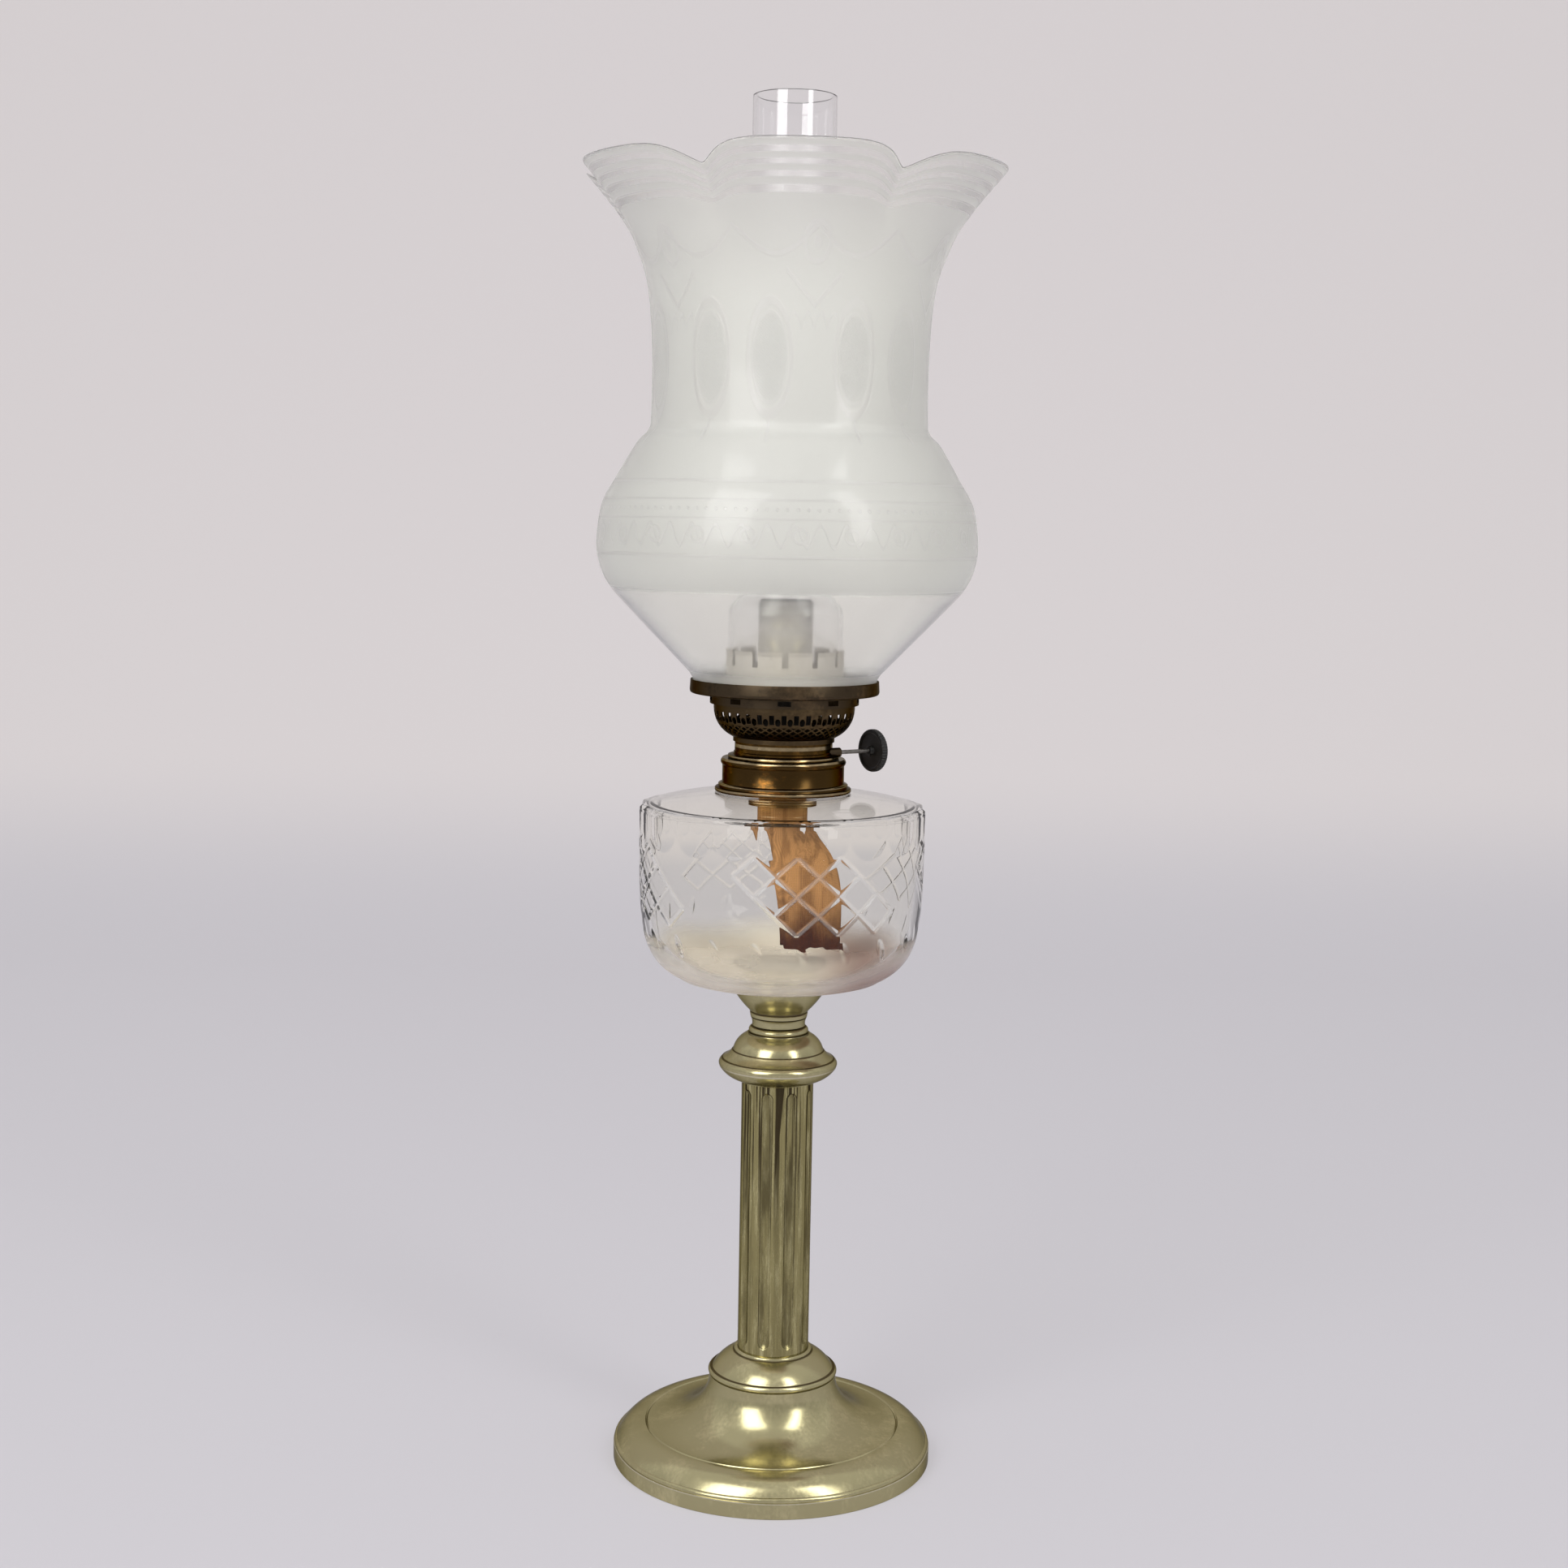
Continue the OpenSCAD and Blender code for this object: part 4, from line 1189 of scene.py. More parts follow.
    def cup(self) -> bpy.types.Object:
        """Turns the cup under the font.

        Returns:
            The new object.
        """
        rim, neck, top = self.cup_r, self.neck, self.cup_h
        base = self.column_high + self.capital_h + self.neck_h
        line = [
            (self.rod_r, 0.0), (neck + 1.4, 0.0), (neck + 1.6, 0.2),
            *bow((neck + 1.8, 0.5), (rim - 0.1, top - 0.2), 0.6), (rim - 0.3, top),
            *bow((rim - 1.6, top), (neck - 1.0, 6.0), -0.3, 12), (self.rod_r, 6.0),
        ]
        return Turning(line, lift=base).build("cup", Body.STAND)

    def build(self, finish: Finishes) -> None:
        """Makes and dresses the stand's pieces.

        Args:
            finish: The lamp's finishes.
        """
        dress(self.foot(), finish.brass, "foot_shell")
        dress(self.socket(), finish.brass, "column_socket")
        dress(self.column(), finish.column, "column")
        dress(self.capital(), finish.brass, "capital")
        dress(self.spool(), finish.brass, "neck_spool")
        dress(self.cup(), finish.brass, "font_cup")
        dress_solids(finish.iron, "foot_weight")
        dress_solids(finish.steel, "tie_rod", "tie_rod_nut", "tie_rod_washer")
        dress_solids(finish.plaster, "cup_plaster", "collar_plaster")


@dataclass
class Font:
    """Cut-glass oil font and its collar.

    Attributes:
        base: Height of the font's underside.
        radius: Radius at the shoulder.
        height: Height of the shoulder's edge above the underside.
        foot: Radius of the flat underside.
        wall: Thickness of the side.
        cover: Thickness of the shoulder.
        floor: Thickness of the bottom.
        rise: Rise of the shoulder to the collar.
        neck: Inside radius of the neck.
        neck_top: Height of the neck's mouth.
        cup: Radius of the cup's rim.
        peg: Radius of the peg that is bedded in the cup.
        thumbs: Number of thumb cuts round the shoulder, and of lens cuts near the bottom.
        thumb_z: Distance of a thumb cut's middle below the shoulder's edge.
        thumb_d: Depth of a thumb cut.
        panel: Degrees from one panel of lozenges to the next.
        panel_turn: Middle of the front panel in degrees right of the front.
        pitch: Degrees across a lozenge.
        first: Place of the first crossing in degrees right of the front, and its height.
        drop: Half the height of a lozenge.
        gap: Distance from one mitre cut to the next.
        mitre_d: Depth of a mitre cut.
        slope: Rise of a mitre cut's sides, millimetre to millimetre.
        lens_z: Height of the lens cuts.
        lens_d: Depth of a lens cut.
        lens_size: Half the width and half the height of a lens cut.
        lens_lean: How far a lens cut leans, millimetre to millimetre.
        collar_r: Radius of the collar.
        collar_base: Height of the collar's underside.
        collar_h: Height of the collar.
        bore: Inside radius of the collar.
        lip: Inside radius of the collar's lip.
        notch_turn: Turn of the first notch in the lip in degrees.
        notch_r: Distance of a notch's flat from the axis.
        notch_w: Half the width of a notch, and the radius where it is measured.
    """

    base: float = 229.5
    radius: float = 66.7
    height: float = 84.5
    foot: float = 47.6
    wall: float = 2.8
    cover: float = 2.2
    floor: float = 6.5
    rise: float = 6.3
    neck: float = 21.6
    neck_top: float = 324.2
    cup: float = 23.0
    peg: float = 13.0
    thumbs: int = 20
    thumb_z: float = 6.5
    thumb_d: float = 1.2
    panel: float = 90.0
    panel_turn: float = 15.0
    pitch: float = 16.9
    first: Point = (6.3, 298.7)
    drop: float = 8.725
    gap: float = 13.0
    mitre_d: float = 0.65
    slope: float = 0.55
    lens_z: float = 255.0
    lens_d: float = 0.8
    lens_size: Point = (2.2, 5.2)
    lens_lean: float = 0.35
    collar_r: float = 28.3
    collar_base: float = 320.6
    collar_h: float = 15.4
    bore: float = 27.3
    lip: float = 23.75
    notch_turn: float = 40.0
    notch_r: float = 26.2
    notch_w: Point = (4.7, 26.0)

    def shoulder(self) -> list[Point]:
        """The sloping top of the glass, from its edge in to the collar."""
        edge, inner = (self.radius - 2.1, self.height + 0.4), (self.collar_r + 3.4, self.height + self.rise)
        return bow(edge, inner, 0.8)

    def outside(self) -> list[Point]:
        """The outside of the glass, from the peg up to the neck's mouth.

        Returns:
            Points of radius and height.
        """
        low, mid, h, r = 0.24 * self.height, 0.6 * self.height, self.height, self.radius
        neck = self.neck + 3.6
        side = [
            *bow((self.foot + 0.3, 4.4), (r - 3.0, 4.0 + low), 3.3, 44),
            *bow((r - 3.0, 4.0 + low), (r - 0.6, mid), 0.6, 60)[1:],
            *[(r - 0.6 + 0.6 * t, mid + (h - 1.6 - mid) * t) for t in np.linspace(0, 1, 66)[1:]],
        ]
        line = [
            (self.peg, -5.5), (self.peg, 0.0), *bow((self.cup, 0.0), (self.foot, 4.0), 1.0, 12), *side,
            *bow((r, h - 1.6), (r - 1.6, h + 0.3), 0.5, 8)[1:],
            *self.shoulder(),
            (neck, h + self.rise + 0.2), (neck, self.neck_top - self.base),
        ]
        return [(q, self.base + y) for q, y in line]

    def inside(self) -> list[Point]:
        """The inside of the glass, from the middle of the floor up to the neck's mouth.

        Returns:
            Points of radius and height.
        """
        low, mid, w, r = 0.24 * self.height, 0.6 * self.height, self.wall, self.radius
        roof = self.height - self.cover
        line = [
            (0.02, self.floor), (self.foot - 6.0, self.floor + 1.0),
            *bow((self.foot - 5.0, self.floor + 1.2), (r - 3.0 - w, 6.0 + low), 3.0, 16),
            (r - 0.6 - w, mid), (r - w, roof - 1.5),
            *bow((r - w - 0.3, roof - 0.6), (r - w - 2.3, roof + 1.4), 0.4, 6),
            *[(q, y - self.cover) for q, y in self.shoulder() if q < r - w - 2.5],
            (self.neck + 3.0, roof + self.rise), (self.neck, roof + self.rise + 2.0),
            (self.neck, self.neck_top - self.base),
        ]
        return [(q, self.base + y) for q, y in line]

    def cuts(self, a: np.ndarray, r: np.ndarray, z: np.ndarray) -> Arrays:
        """Presses the cuts into the outside of the glass.

        Args:
            a: Turn of each point in radians.
            r: Radius of each point in millimetres.
            z: Height of each point in millimetres.

        Returns:
            The radius and height to use.
        """
        face, arc = np.degrees(a) + 90.0, self.radius * math.pi / 180
        edge, thumb = self.base + self.height, 360.0 / self.thumbs
        x = ((face + thumb / 2) % thumb - thumb / 2) * arc
        y = np.minimum(z - edge + self.thumb_z, 0.0) / 1.15
        half = self.radius * math.sin(math.pi / self.thumbs)
        depth = self.thumb_d * (1 - (x**2 + y**2 * 1.2) / half**2)
        depth = np.where(z > edge + 0.35, 0, depth)
        depth = np.maximum(depth, self.lozenges(face, z))
        wide, high = self.lens_size
        tall = z - self.lens_z
        slant = (face % thumb - thumb / 2) * arc + tall * self.lens_lean
        depth = np.maximum(depth, self.lens_d * (1 - (slant / wide) ** 2 - (tall / high) ** 2))
        return np.where(r > self.radius - 8.5, r - np.maximum(depth, 0), r), z

    def lozenges(self, face: np.ndarray, z: np.ndarray) -> np.ndarray:
        """Depth of the mitre cuts that cross in leaning panels of three by three lozenges.

        Args:
            face: Direction of each point in degrees right of the front.
            z: Height of each point in millimetres.

        Returns:
            The depth in millimetres, below zero off the cuts.
        """
        middle, half = self.panel_turn, self.panel / 2
        along = ((face - middle + half) % self.panel - half + middle - self.first[0]) / self.pitch
        down = (self.first[1] - z) / self.drop / 2
        one, two = along - down, along + down

        def held(i: np.ndarray, j: np.ndarray) -> np.ndarray:
            """Whether a lozenge belongs to the panel."""
            return (i >= -2) & (i <= 0) & (j - i >= 1) & (j - i <= 3)

        n, m, i, j = np.round(one), np.round(two), np.floor(one), np.floor(two)
        cut_one = np.where(held(n - 1, j) | held(n, j), np.abs(one - n), 1.0)
        cut_two = np.where(held(i, m - 1) | held(i, m), np.abs(two - m), 1.0)
        return self.mitre_d - self.slope * self.gap * np.minimum(cut_one, cut_two)

    def glass(self) -> bpy.types.Object:
        """Makes the font.

        Returns:
            The new object.
        """
        outside, inside = self.outside(), self.inside()
        total = [(0.02, self.base - 5.5), *outside, *inside[::-1]]
        steps = 720
        outer = np.tile(np.arange(len(total)) <= len(outside), steps)

        def shape(a: np.ndarray, r: np.ndarray, z: np.ndarray) -> Arrays:
            """Cuts the outside and leaves the inside plain."""
            return np.where(outer, self.cuts(a, r, z)[0], r), z

        piece = Turning(total, steps, shape).build("font_body", Body.STAND, 50)
        where = np.zeros(len(piece.data.vertices) * 3)
        piece.data.vertices.foreach_get("co", where)
        x, y, z = where.reshape(-1, 3).T / MM
        side = outer & (np.hypot(x, y) > self.radius - 6.0)
        depth = self.lozenges(np.degrees(np.arctan2(y, x)) + 90.0, z)
        ground = np.where(side, np.clip(depth / 0.25, 0.0, 1.0), 0.0).astype(np.float32)
        piece.data.attributes.new("cut", "FLOAT", "POINT").data.foreach_set("value", ground)
        return piece

    def collar(self) -> bpy.types.Object:
        """Makes the collar, with the two notches in its lip.

        Returns:
            The new object.
        """
        r, h, lip, bore = self.collar_r, self.collar_h, self.lip, self.bore
        line = [
            (bore, 0.0), (r + 3.0, 0.0), (r + 3.4, 0.4), (r + 3.4, 1.4), (r + 3.1, 1.8), (r + 1.9, 2.1),
            (r + 1.8, 2.3), (r + 1.8, 3.4), (r + 1.5, 3.7), (r + 0.2, 4.1), (r, 4.5),
            *bow((r, h - 3.2), (r, h), 0.8, 18),
            (lip + 0.2, h), (lip, h - 0.2), (lip, h - 1.0), (lip + 0.2, h - 1.2), (bore, h - 1.2),
        ]
        half, measured = self.notch_w

        def notch(a: np.ndarray, q: np.ndarray, z: np.ndarray) -> Arrays:
            """Opens the lip where the burner's lugs pass.

            Args:
                a: Turn of each point in radians.
                q: Radius of each point.
                z: Height of each point.

            Returns:
                The radius and height to use.
            """
            turn = np.radians((np.degrees(a) - self.notch_turn + 90.0) % 180.0 - 90.0)
            open_to = self.notch_r / np.cos(turn)
            gap = (np.abs(measured * np.sin(turn)) < half) & (q < open_to) & (z > h - 1.3)
            return np.where(gap, np.minimum(open_to, bore - 0.05), q), z

        return Turning(line, 360, notch, self.collar_base).build("collar", Body.STAND)

    def build(self, finish: Finishes) -> None:
        """Makes and dresses the font and its collar."""
        dress(self.glass(), finish.font, "font")
        dress(self.collar(), finish.collar, "font_collar")


@dataclass
class Burner:
    """Round-wick burner with its winder.

    Attributes:
        ring_z: Height of the shade ring's underside.
        ring_r: Outside radius of the shade ring.
        hole_r: Radius of the hole in the shade ring's floor.
        ring_h: Height of the upturned rim.
        sheet: Thickness of the sheet brass.
        shaft_turn: Direction of the winder shaft in degrees.
        shaft_off: Distance of the shaft from the lamp's axis.
        shaft_z: Height of the shaft.
        reach: Distance along the shaft to the knob.
        knob_r: Radius of the knob.
        knob_t: Thickness of the knob.
        knob_rim: How far the knob's rim stands out on either side.
        mills: Number of grooves in the knob's edge.
        mill_d: Half the depth of a groove.
        shaft_r: Radius of the shaft.
    """

    ring_z: float = 365.9
    ring_r: float = 43.9
    hole_r: float = 22.8
    ring_h: float = 6.4
    sheet: float = 0.8
    shaft_turn: float = 34.5
    shaft_off: float = 16.2
    shaft_z: float = 339.2
    reach: float = 38.5
    knob_r: float = 10.0
    knob_t: float = 2.2
    knob_rim: float = 0.5
    mills: int = 48
    mill_d: float = 0.16
    shaft_r: float = 0.95

    def shade_ring(self) -> bpy.types.Object:
        """Spins the ring that carries the shade.

        Returns:
            The new object.
        """
        r, sheet, h = self.ring_r, self.sheet, self.ring_h
        line = eased([
            (self.hole_r, 0.0, 0.2), (r - 1.2, 0.0, 0.6), (r - 0.3, 0.4, 0.6), (r, 1.4, 0.6),
            (r - 0.3, h, 0.3), (r - sheet, h, 0.3), (r - sheet - 0.1, sheet, 0.2), (self.hole_r, sheet, 0.2),
        ])
        return Turning(line, 220, lift=self.ring_z).build("ring", Body.BURNER)

    def knob(self) -> bpy.types.Object:
        """Turns the winder's knob, with a milled edge.

        Returns:
            The new object.
        """
        r, thick, bore, edge = self.knob_r, self.knob_t, self.shaft_r, self.knob_rim
        line = eased([
            (bore, -1.6, 0.1), (bore + 1.1, -1.6, 0.3), (bore + 1.5, 0.0, 0.3), (r - 2.0, 0.0, 0.4),
            (r - 1.6, -edge, 0.3), (r - 0.4, -edge, 0.2), (r, 0.1, 0.2), (r, thick - 0.1, 0.2),
            (r - 0.4, thick + edge, 0.2), (r - 1.6, thick + edge, 0.3), (r - 2.0, thick, 0.4),
            (bore, thick, 0.1),
        ], 4)

        def milled(a: np.ndarray, q: np.ndarray, z: np.ndarray) -> Arrays:
            """Cuts fine grooves across the edge."""
            groove = self.mill_d * (1 - np.cos(self.mills * a))
            return np.where(q > r - 0.6, q - groove, q), z

        spin = Matrix.Rotation(math.radians(self.shaft_turn), 4, "Z")
        along = Matrix.Translation((self.reach, -self.shaft_off, self.shaft_z))
        place = spin @ along @ Matrix.Rotation(math.pi / 2, 4, "Y")
        return Turning(line, 8 * self.mills, milled).build("knob", Body.WINDER, place=place)

    def build(self, finish: Finishes) -> None:
        """Makes and dresses the burner's pieces.

        Args:
            finish: The lamp's finishes.
        """
        dress(self.shade_ring(), finish.bronze, "shade_ring")
        dress(self.knob(), finish.black, "winder_knob")
        dress_solids(finish.drum, "burner_drum", "wick_guide", "spur_wheels")
        dress_solids(finish.basket, "basket")
        dress_solids(finish.bronze, "gallery_crown", "drum_floor", "shaft_bracket", "winder_sleeve")
        dress_solids(finish.tube, "wick_tube", "air_tube")
        dress_solids(finish.holder, "chimney_holder")
        dress_solids(finish.steel, "winder_shaft")
        dress_solids(finish.black, "knob_rivet")


@dataclass
class Chimney:
    """Straight glass chimney.

    Attributes:
        base_z: Height of its lower edge.
        base_r: Radius of its wide base.
        top_r: Radius at the top.
        height: Whole height.
        base_h: Height of the wide base.
        wall: Thickness of the glass.
    """

    base_z: float = 367.0
    base_r: float = 26.2
    top_r: float = 18.9
    height: float = 268.0
    base_h: float = 37.0
    wall: float = 1.6

    def side(self, inset: float) -> list[Point]:
        """One face of the glass, from the bottom up.

        Args:
            inset: Distance in from the outside.

        Returns:
            The points of the face.
        """
        base, top, low = self.base_r - inset, self.top_r - inset, self.base_h
        tube, start = top + 1.0, low + 18
        shoulder = smooth_curve([
            (base, low - 4), (base - 0.3, low + 1), ((base + tube) / 2, low + 7), (tube + 0.3, low + 13),
            (tube, start),
        ])
        rise = self.height - start - 0.4
        straight = [(tube + (top - tube) * k, start + rise * k) for k in np.linspace(0.1, 1, 10)]
        return [(base, 0.3), *shoulder, *straight]

    def build(self, finish: Finishes) -> None:
        """Makes and dresses the chimney.

        Args:
            finish: The lamp's finishes.
        """
        middle = self.wall / 2
        top, low = (self.top_r - middle, self.height), (self.base_r - middle, 0.0)
        outline = [*self.side(0.0), top, *self.side(self.wall)[::-1], low]
        piece = Turning(outline, 200, lift=self.base_z).build("chimney_tube", Body.CHIMNEY, 60)
        dress(piece, finish.chimney, "chimney")


@dataclass
class Shade:
    """Tulip shade with a frilled rim.

    Attributes:
        base_z: Height of its lower edge.
        foot: Radius of the straight foot.
        bulge: Radius of the bulge.
        waist: Radius of the waist.
        rim: Radius across the lobes.
        height: Whole height.
        wall: Thickness of the glass.
        lobes: Number of lobes.
        front: Turn of the front lobe's middle in degrees.
        fold_w: Half the width of a fold in degrees.
        fold_in: How far each fold is pushed in.
        fold_dip: How far each fold dips.
    """

    base_z: float = 367.0
    foot: float = 42.7
    bulge: float = 87.2
    waist: float = 63.0
    rim: float = 97.5
    height: float = 235.0
    wall: float = 2.2
    lobes: int = 6
    front: float = 273.0
    fold_w: float = 7.0
    fold_in: float = 13.0
    fold_dip: float = 8.5

    def side(self, inset: float) -> list[Point]:
        """One face of the glass, from the foot up.

        Args:
            inset: Distance in from the outside.

        Returns:
            The points of the face.
        """
        foot, bulge, waist = self.foot - inset, self.bulge - inset, self.waist - inset
        rim, top = self.rim - inset / 2, self.height
        bell = [
            (foot + 1.6, 8.6), (foot + 30, 38), (bulge - 5, 49), (bulge - 0.6, 60), (bulge, 71),
            (bulge - 2.4, 85.5), (bulge - 8.6, 97), (waist + 6.4, 112.5), (waist + 1.1, 118.5), (waist, 126),
            (waist, top * 0.66), (waist + 2.4, top * 0.78), (waist + 9, top * 0.86),
            ((waist + rim) / 2 + 1, top * 0.92), (rim, top),
        ]
        return [(foot, 0.3), (foot, 3.0), (foot, 6.0), *smooth_curve(bell)]

    def frill(self, a: np.ndarray, r: np.ndarray, z: np.ndarray) -> Arrays:
        """Pushes the folds into the rim.

        Args:
            a: Turn of each point in radians.
            r: Radius of each point in millimetres.
            z: Height of each point above the lower edge.

        Returns:
            The radius and height to use.
        """
        step = 360.0 / self.lobes
        d = (np.degrees(a) - self.front) % step - step / 2
        fold = np.exp(-((np.abs(d) / self.fold_w) ** 1.5))
        amount = ramp(z, self.height * 0.82, self.height * 1.02) ** 1.2
        return r - amount * self.fold_in * fold, z - amount * self.fold_dip * fold

    def build(self, finish: Finishes) -> None:
        """Makes and dresses the shade.

        Args:
            finish: The lamp's finishes.
        """
        outside, inside = self.side(0.0), self.side(self.wall)
        lip = (self.rim - self.wall / 4, self.height + 0.3)
        outline = [*outside, lip, *inside[::-1], (self.foot - self.wall / 2, 0.0)]
        piece = Turning(outline, 420, self.frill, self.base_z).build("shade_bell", Body.SHADE, 70)
        dress(piece, finish.shade, "shade")


@dataclass
class Wick:
    """Cotton wick: a rolled tube above, a spread tail with soft folds below.

    Attributes:
        top: Height of the burning edge.
        low: Height of the tail's end.
        hang: Height where the tail starts to loosen.
        seam: Heights between which the seam closes.
        spans: Degrees that the cloth takes in at the flame, beside the duct and where it hangs loose.
        radius: Radius at the middle of the cloth.
        thick: Thickness of the cloth.
        spread: How far the loose tail spreads.
        fold: Depth of the tail's folds.
        ripple: Depth of the fine ripples where the tail loosens, and what is added where it gathers.
        ragged: How far the tail's end is frayed.
        lean: How far the tail's end leans to the right, and to the back or below zero to the front.
        front: Turn of the side opposite the seam, clockwise from the back in degrees.
        width: Width of the flat cloth.
        steps: Spans across the cloth.
    """

    top: float = 410.7
    low: float = 248.0
    hang: float = 307.0
    seam: Point = (373.3, 379.3)
    spans: Triple = (357.0, 286.0, 232.0)
    radius: float = 10.7
    thick: float = 1.8
    spread: float = 4.17
    fold: float = 1.2
    ripple: Point = (0.3, 0.5)
    ragged: float = 1.2
    lean: Point = (13.86, -3.96)
    front: float = 145.5
    width: float = 67.0
    steps: int = 64

    def levels(self) -> list[float]:
        """The heights of the rows, closest together in the tail.

        Returns:
            The heights from the flame down.
        """
        return [
            self.top, self.top - 0.5, *np.linspace(self.top - 4, self.seam[1] + 3, 5),
            *np.linspace(self.seam[1], self.seam[0], 9), *np.linspace(self.seam[0] - 5, self.hang + 4, 9),
            *np.linspace(self.hang, self.low, 60),
        ]

    def shift(self, z: float) -> Point:
        """How far the tail leans at this height."""
        tail = max(0.0, (self.hang - z) / (self.hang - self.low))
        return self.lean[0] * (1 - (1 - tail) ** 3), self.lean[1] * tail

    def length(self) -> float:
        """Length of the flat cloth, along the middle of the hanging wick."""
        line = np.array([(*self.shift(z), z) for z in self.levels()])
        return float(np.sum(np.linalg.norm(np.diff(line, axis=0), axis=1)))

    def row(self, z: float, face: float) -> np.ndarray:
        """Points across the cloth at one height.

        Args:
            z: The height.
            face: Distance of the face from the middle of the cloth.

        Returns:
            The points, one row each.
        """
        tail = np.array((self.hang - z) / (self.hang - self.low))
        closed = np.clip((z - self.seam[0]) / (self.seam[1] - self.seam[0]), 0, 1)
        loosen, gather = float(ramp(tail, 0, 0.35)), float(ramp(tail, 0.35, 1))
        flame, duct, loose = self.spans
        part = np.linspace(-0.5, 0.5, self.steps + 1)
        a = self.front + part * (duct + (flame - duct) * closed - (duct - loose) * loosen)
        ripple = np.dot(self.ripple, (loosen, gather)) * np.sin(np.radians(11 * a + 5.0 * z))
        folds = self.fold * (loosen + gather) * np.sin(np.radians(3.5 * a))
        r = self.radius + self.spread * (loosen - 0.6 * gather) + folds + ripple + face
        x, y = self.shift(z)
        teeth = np.maximum(np.sin(part * 19.0) + 0.5 * np.sin(part * 47.0), 0)
        height = z + self.ragged * gather**4 * teeth
        return np.stack([r * np.sin(np.radians(a)) + x, r * np.cos(np.radians(a)) + y, height], 1)

    def build(self, finish: Finishes) -> None:
        """Args:
            finish: The lamp's finishes.
        """
        half, m = self.thick / 2, 2 * (self.steps + 1)
        rows = [np.concatenate([self.row(z, half), self.row(z, -half)[::-1]]) for z in self.levels()]
        quads = []
        for k in range(len(rows) - 1):
            for i in range(m):
                j = (i + 1) % m
                quads.append([k * m + i, k * m + j, (k + 1) * m + j, (k + 1) * m + i])
        last = (len(rows) - 1) * m
        for i in range(self.steps):
            j = m - 1 - i
            quads.append([i, j, j - 1, i + 1])
            quads.append([last + i, last + i + 1, last + j - 1, last + j])
        piece = make_mesh("wick_cloth", np.concatenate(rows), np.array(quads), Body.WICK, 50)
        dress(piece, finish.cotton, "wick")
        self.length() * MM


@dataclass(frozen=True)
class SoftLight:
    """One soft light of the studio.

    Attributes:
        name: Name of the light.
        turn: Direction from the front in degrees, towards the right.
        lift: Height above the level in degrees.
        far: Distance in metres.
        size: Width and height in metres.
        power: Power in watts.
        aim: Height in metres of the point that it is aimed at.
    """

    name: str
    turn: float
    lift: float
    far: float
    size: Point
    power: float
    aim: float = 0.3

    def build(self) -> None:
        """Adds the light."""
        light = bpy.data.lights.new(self.name, "AREA")
        light.shape = "RECTANGLE"
        light.size, light.size_y = self.size
        light.energy = self.power
        holder = bpy.data.objects.new(self.name, light)
        bpy.context.scene.collection.objects.link(holder)
        a, b, aim = math.radians(self.turn), math.radians(self.lift), Vector((0, 0, self.aim))
        way = Vector((math.sin(a) * math.cos(b), -math.cos(a) * math.cos(b), math.sin(b)))
        holder.location = aim + self.far * way
        holder.rotation_euler = (aim - holder.location).to_track_quat("-Z", "Y").to_euler()


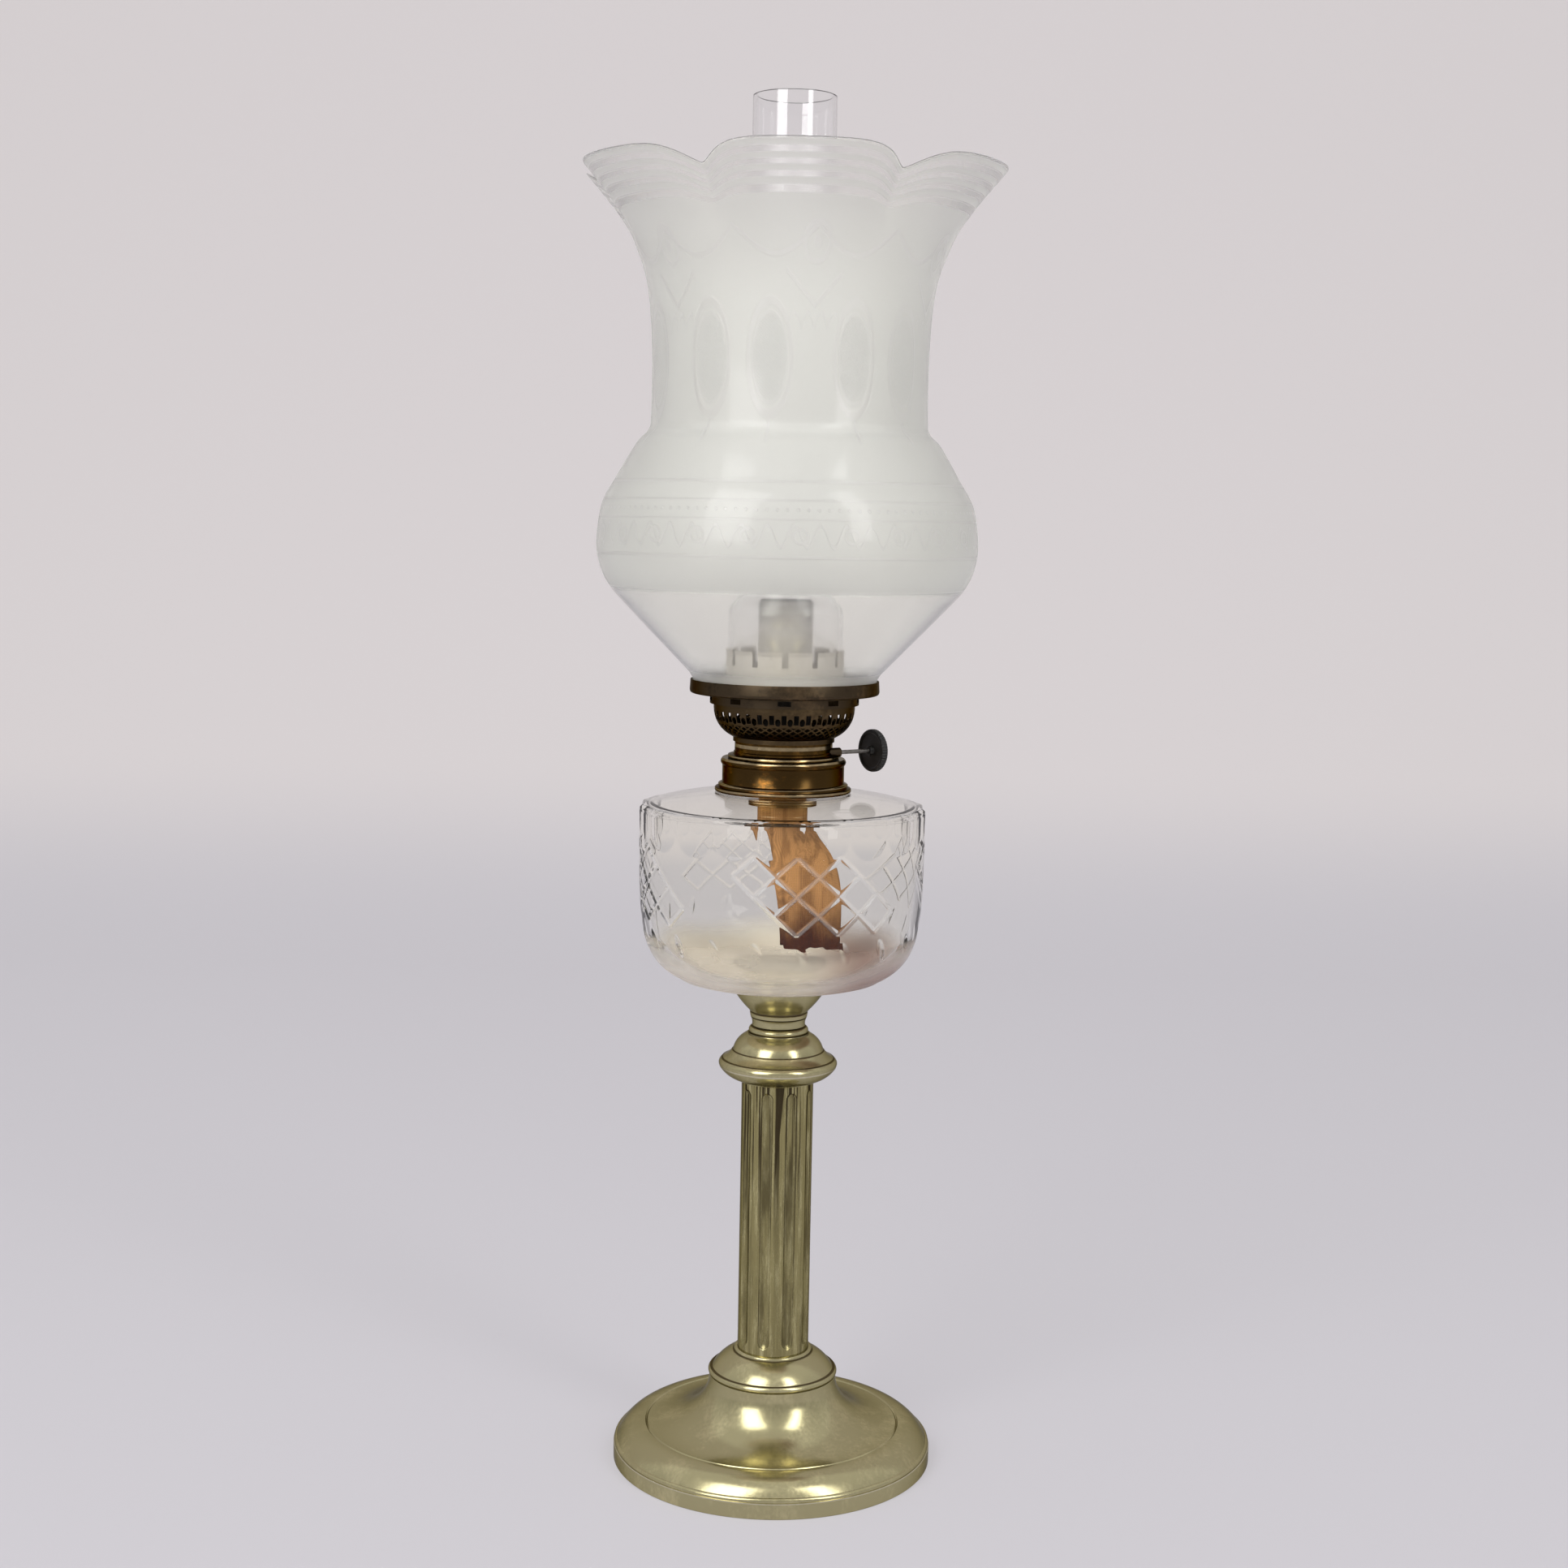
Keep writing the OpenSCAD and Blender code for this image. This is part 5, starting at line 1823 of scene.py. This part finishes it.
@dataclass
class Studio:
    """Camera, floor, backdrop and light.

    Attributes:
        focal_px: Focal length in pixels of the photograph.
        pitch: Degrees that the camera looks down.
        roll: Degrees that the camera is turned.
        far: Distance from the lamp's axis in metres.
        high: Height of the camera in metres.
        side: Sideways place of the camera in metres.
        paper: Front edge, start of the bend, its radius and upper edge of the paper in metres.
        paper_w: Half the width of the paper in metres.
        floor: Linear colour of the paper underfoot.
        wall: Linear colour of the paper behind.
        glow: Share of the backdrop's colour that needs no light.
        shine: Strength of that share in the mirror of metal and glass.
        room: Light of the room in front of the lamp and behind it.
        ceiling: Light that the ceiling adds.
        air: Linear colour of the room's light.
        beyond: Linear colour of the room where it is seen past the paper.
    """

    focal_px: float = 2838.0
    pitch: float = 6.69
    roll: float = 1.04
    far: float = 1.063
    high: float = 0.4484
    side: float = 0.0005
    paper: tuple[float, float, float, float] = (-4.0, 1.2, 1.0, 5.0)
    paper_w: float = 6.0
    floor: Colour = (0.641, 0.621, 0.656)
    wall: Colour = (0.766, 0.724, 0.729)
    glow: float = 0.6
    shine: float = 0.75
    room: Point = (0.4, 0.58)
    ceiling: float = 0.15
    air: Colour = (1.0, 0.985, 1.0)
    beyond: Colour = (0.655, 0.612, 0.628)

    def camera(self) -> None:
        """Places the camera at the photograph's viewing angle."""
        data = bpy.data.cameras.new("camera")
        data.sensor_fit = "HORIZONTAL"
        data.sensor_width = 36.0
        data.lens = self.focal_px / PHOTO_PX * data.sensor_width
        data.clip_start, data.clip_end = 0.01, 50.0
        p, r = math.radians(self.pitch), math.radians(self.roll)
        right, up = Vector((1, 0, 0)), Vector((0, math.sin(p), math.cos(p)))
        ahead = Vector((0, math.cos(p), -math.sin(p)))
        across, above = right * math.cos(r) + up * math.sin(r), up * math.cos(r) - right * math.sin(r)
        turn = Matrix((across, above, -ahead)).transposed().to_4x4()
        camera = bpy.data.objects.new("camera", data)
        camera.matrix_world = Matrix.Translation((self.side, -self.far, self.high)) @ turn
        bpy.context.scene.collection.objects.link(camera)
        bpy.context.scene.camera = camera

    def backdrop(self) -> None:
        """Lays a seamless sweep of pale paper."""
        front, back, bend, top = self.paper
        curve = ellipse_arc((back, bend), bend, bend, 270, 360, 24)
        line = [(front, 0.0), (back, 0.0), *curve, (back + bend, top)]
        points = [(x, y, z) for x in (-self.paper_w, self.paper_w) for y, z in line]
        n = len(line)
        quads = [[i, n + i, n + i + 1, i + 1] for i in range(n - 1)]
        mesh = bpy.data.meshes.new("paper_sweep")
        mesh.from_pydata(points, [], quads)
        soften(mesh, SOLID_CREASE)
        sweep = bpy.data.objects.new("paper_sweep", mesh)
        bpy.context.scene.collection.objects.link(sweep)
        look = Shader("backdrop_paper")
        tone = look.mixed(look.place()[2].step(0.0, 150.0), self.floor, self.wall)
        look.give("Base Color", tone)
        look.give("Roughness", 0.9)
        look.give("Specular IOR Level", 0.1)
        light = look.node("ShaderNodeEmission")
        look.tree.links.new(tone, light.inputs["Color"])
        seen, mirror = rays(look.tree, "Camera", "Transmission"), rays(look.tree, "Glossy")
        look.tree.links.new(seen.most(mirror * self.shine).socket, light.inputs["Strength"])
        look.overlay(seen.most(mirror) * self.glow, light)
        mesh.materials.append(look.material)

    def world(self) -> None:
        """Fills the room with light, dim in front of the lamp and pale behind it."""
        world = bpy.data.worlds.new("room")
        bpy.context.scene.world = world
        world.use_nodes = True
        tree = world.node_tree
        back = tree.nodes["Background"]
        direction, split = tree.nodes.new("ShaderNodeTexCoord"), tree.nodes.new("ShaderNodeSeparateXYZ")
        tree.links.new(direction.outputs["Generated"], split.inputs[0])
        depth, lift = (Field(tree, split.outputs[axis]) for axis in "YZ")
        front, behind = self.room
        room = depth.step(-0.7, 0.7) * (behind - front) + lift.step(0.0, 1.0) * self.ceiling + front
        through = rays(tree, "Camera", "Transmission")
        level = room + through * room.rest()
        tree.links.new(mixed(tree, through, self.air, self.beyond), back.inputs["Color"])
        tree.links.new(level.socket, back.inputs["Strength"])

    def build(self) -> None:
        """Sets up the studio."""
        self.camera()
        self.backdrop()
        self.world()
        SoftLight("window_left", turn=-36.0, lift=34.0, far=2.0, size=(1.0, 1.9), power=24.0).build()
        SoftLight("window_right", turn=44.0, lift=34.0, far=2.0, size=(0.45, 1.8), power=12.5).build()
        bpy.context.scene.view_settings.view_transform = "Standard"


def main() -> None:
    """Builds the studio and the lamp, from the foot up."""
    logging.basicConfig(level=logging.INFO, format="%(name)s: %(message)s")
    Studio().build()
    finish = Finishes()
    for group in (Stand(), Font(), Burner(), Wick(), Chimney(), Shade()):
        group.build(finish)
        LOG.info("built %s", type(group).__name__)


if __name__ == "__main__":
    main()
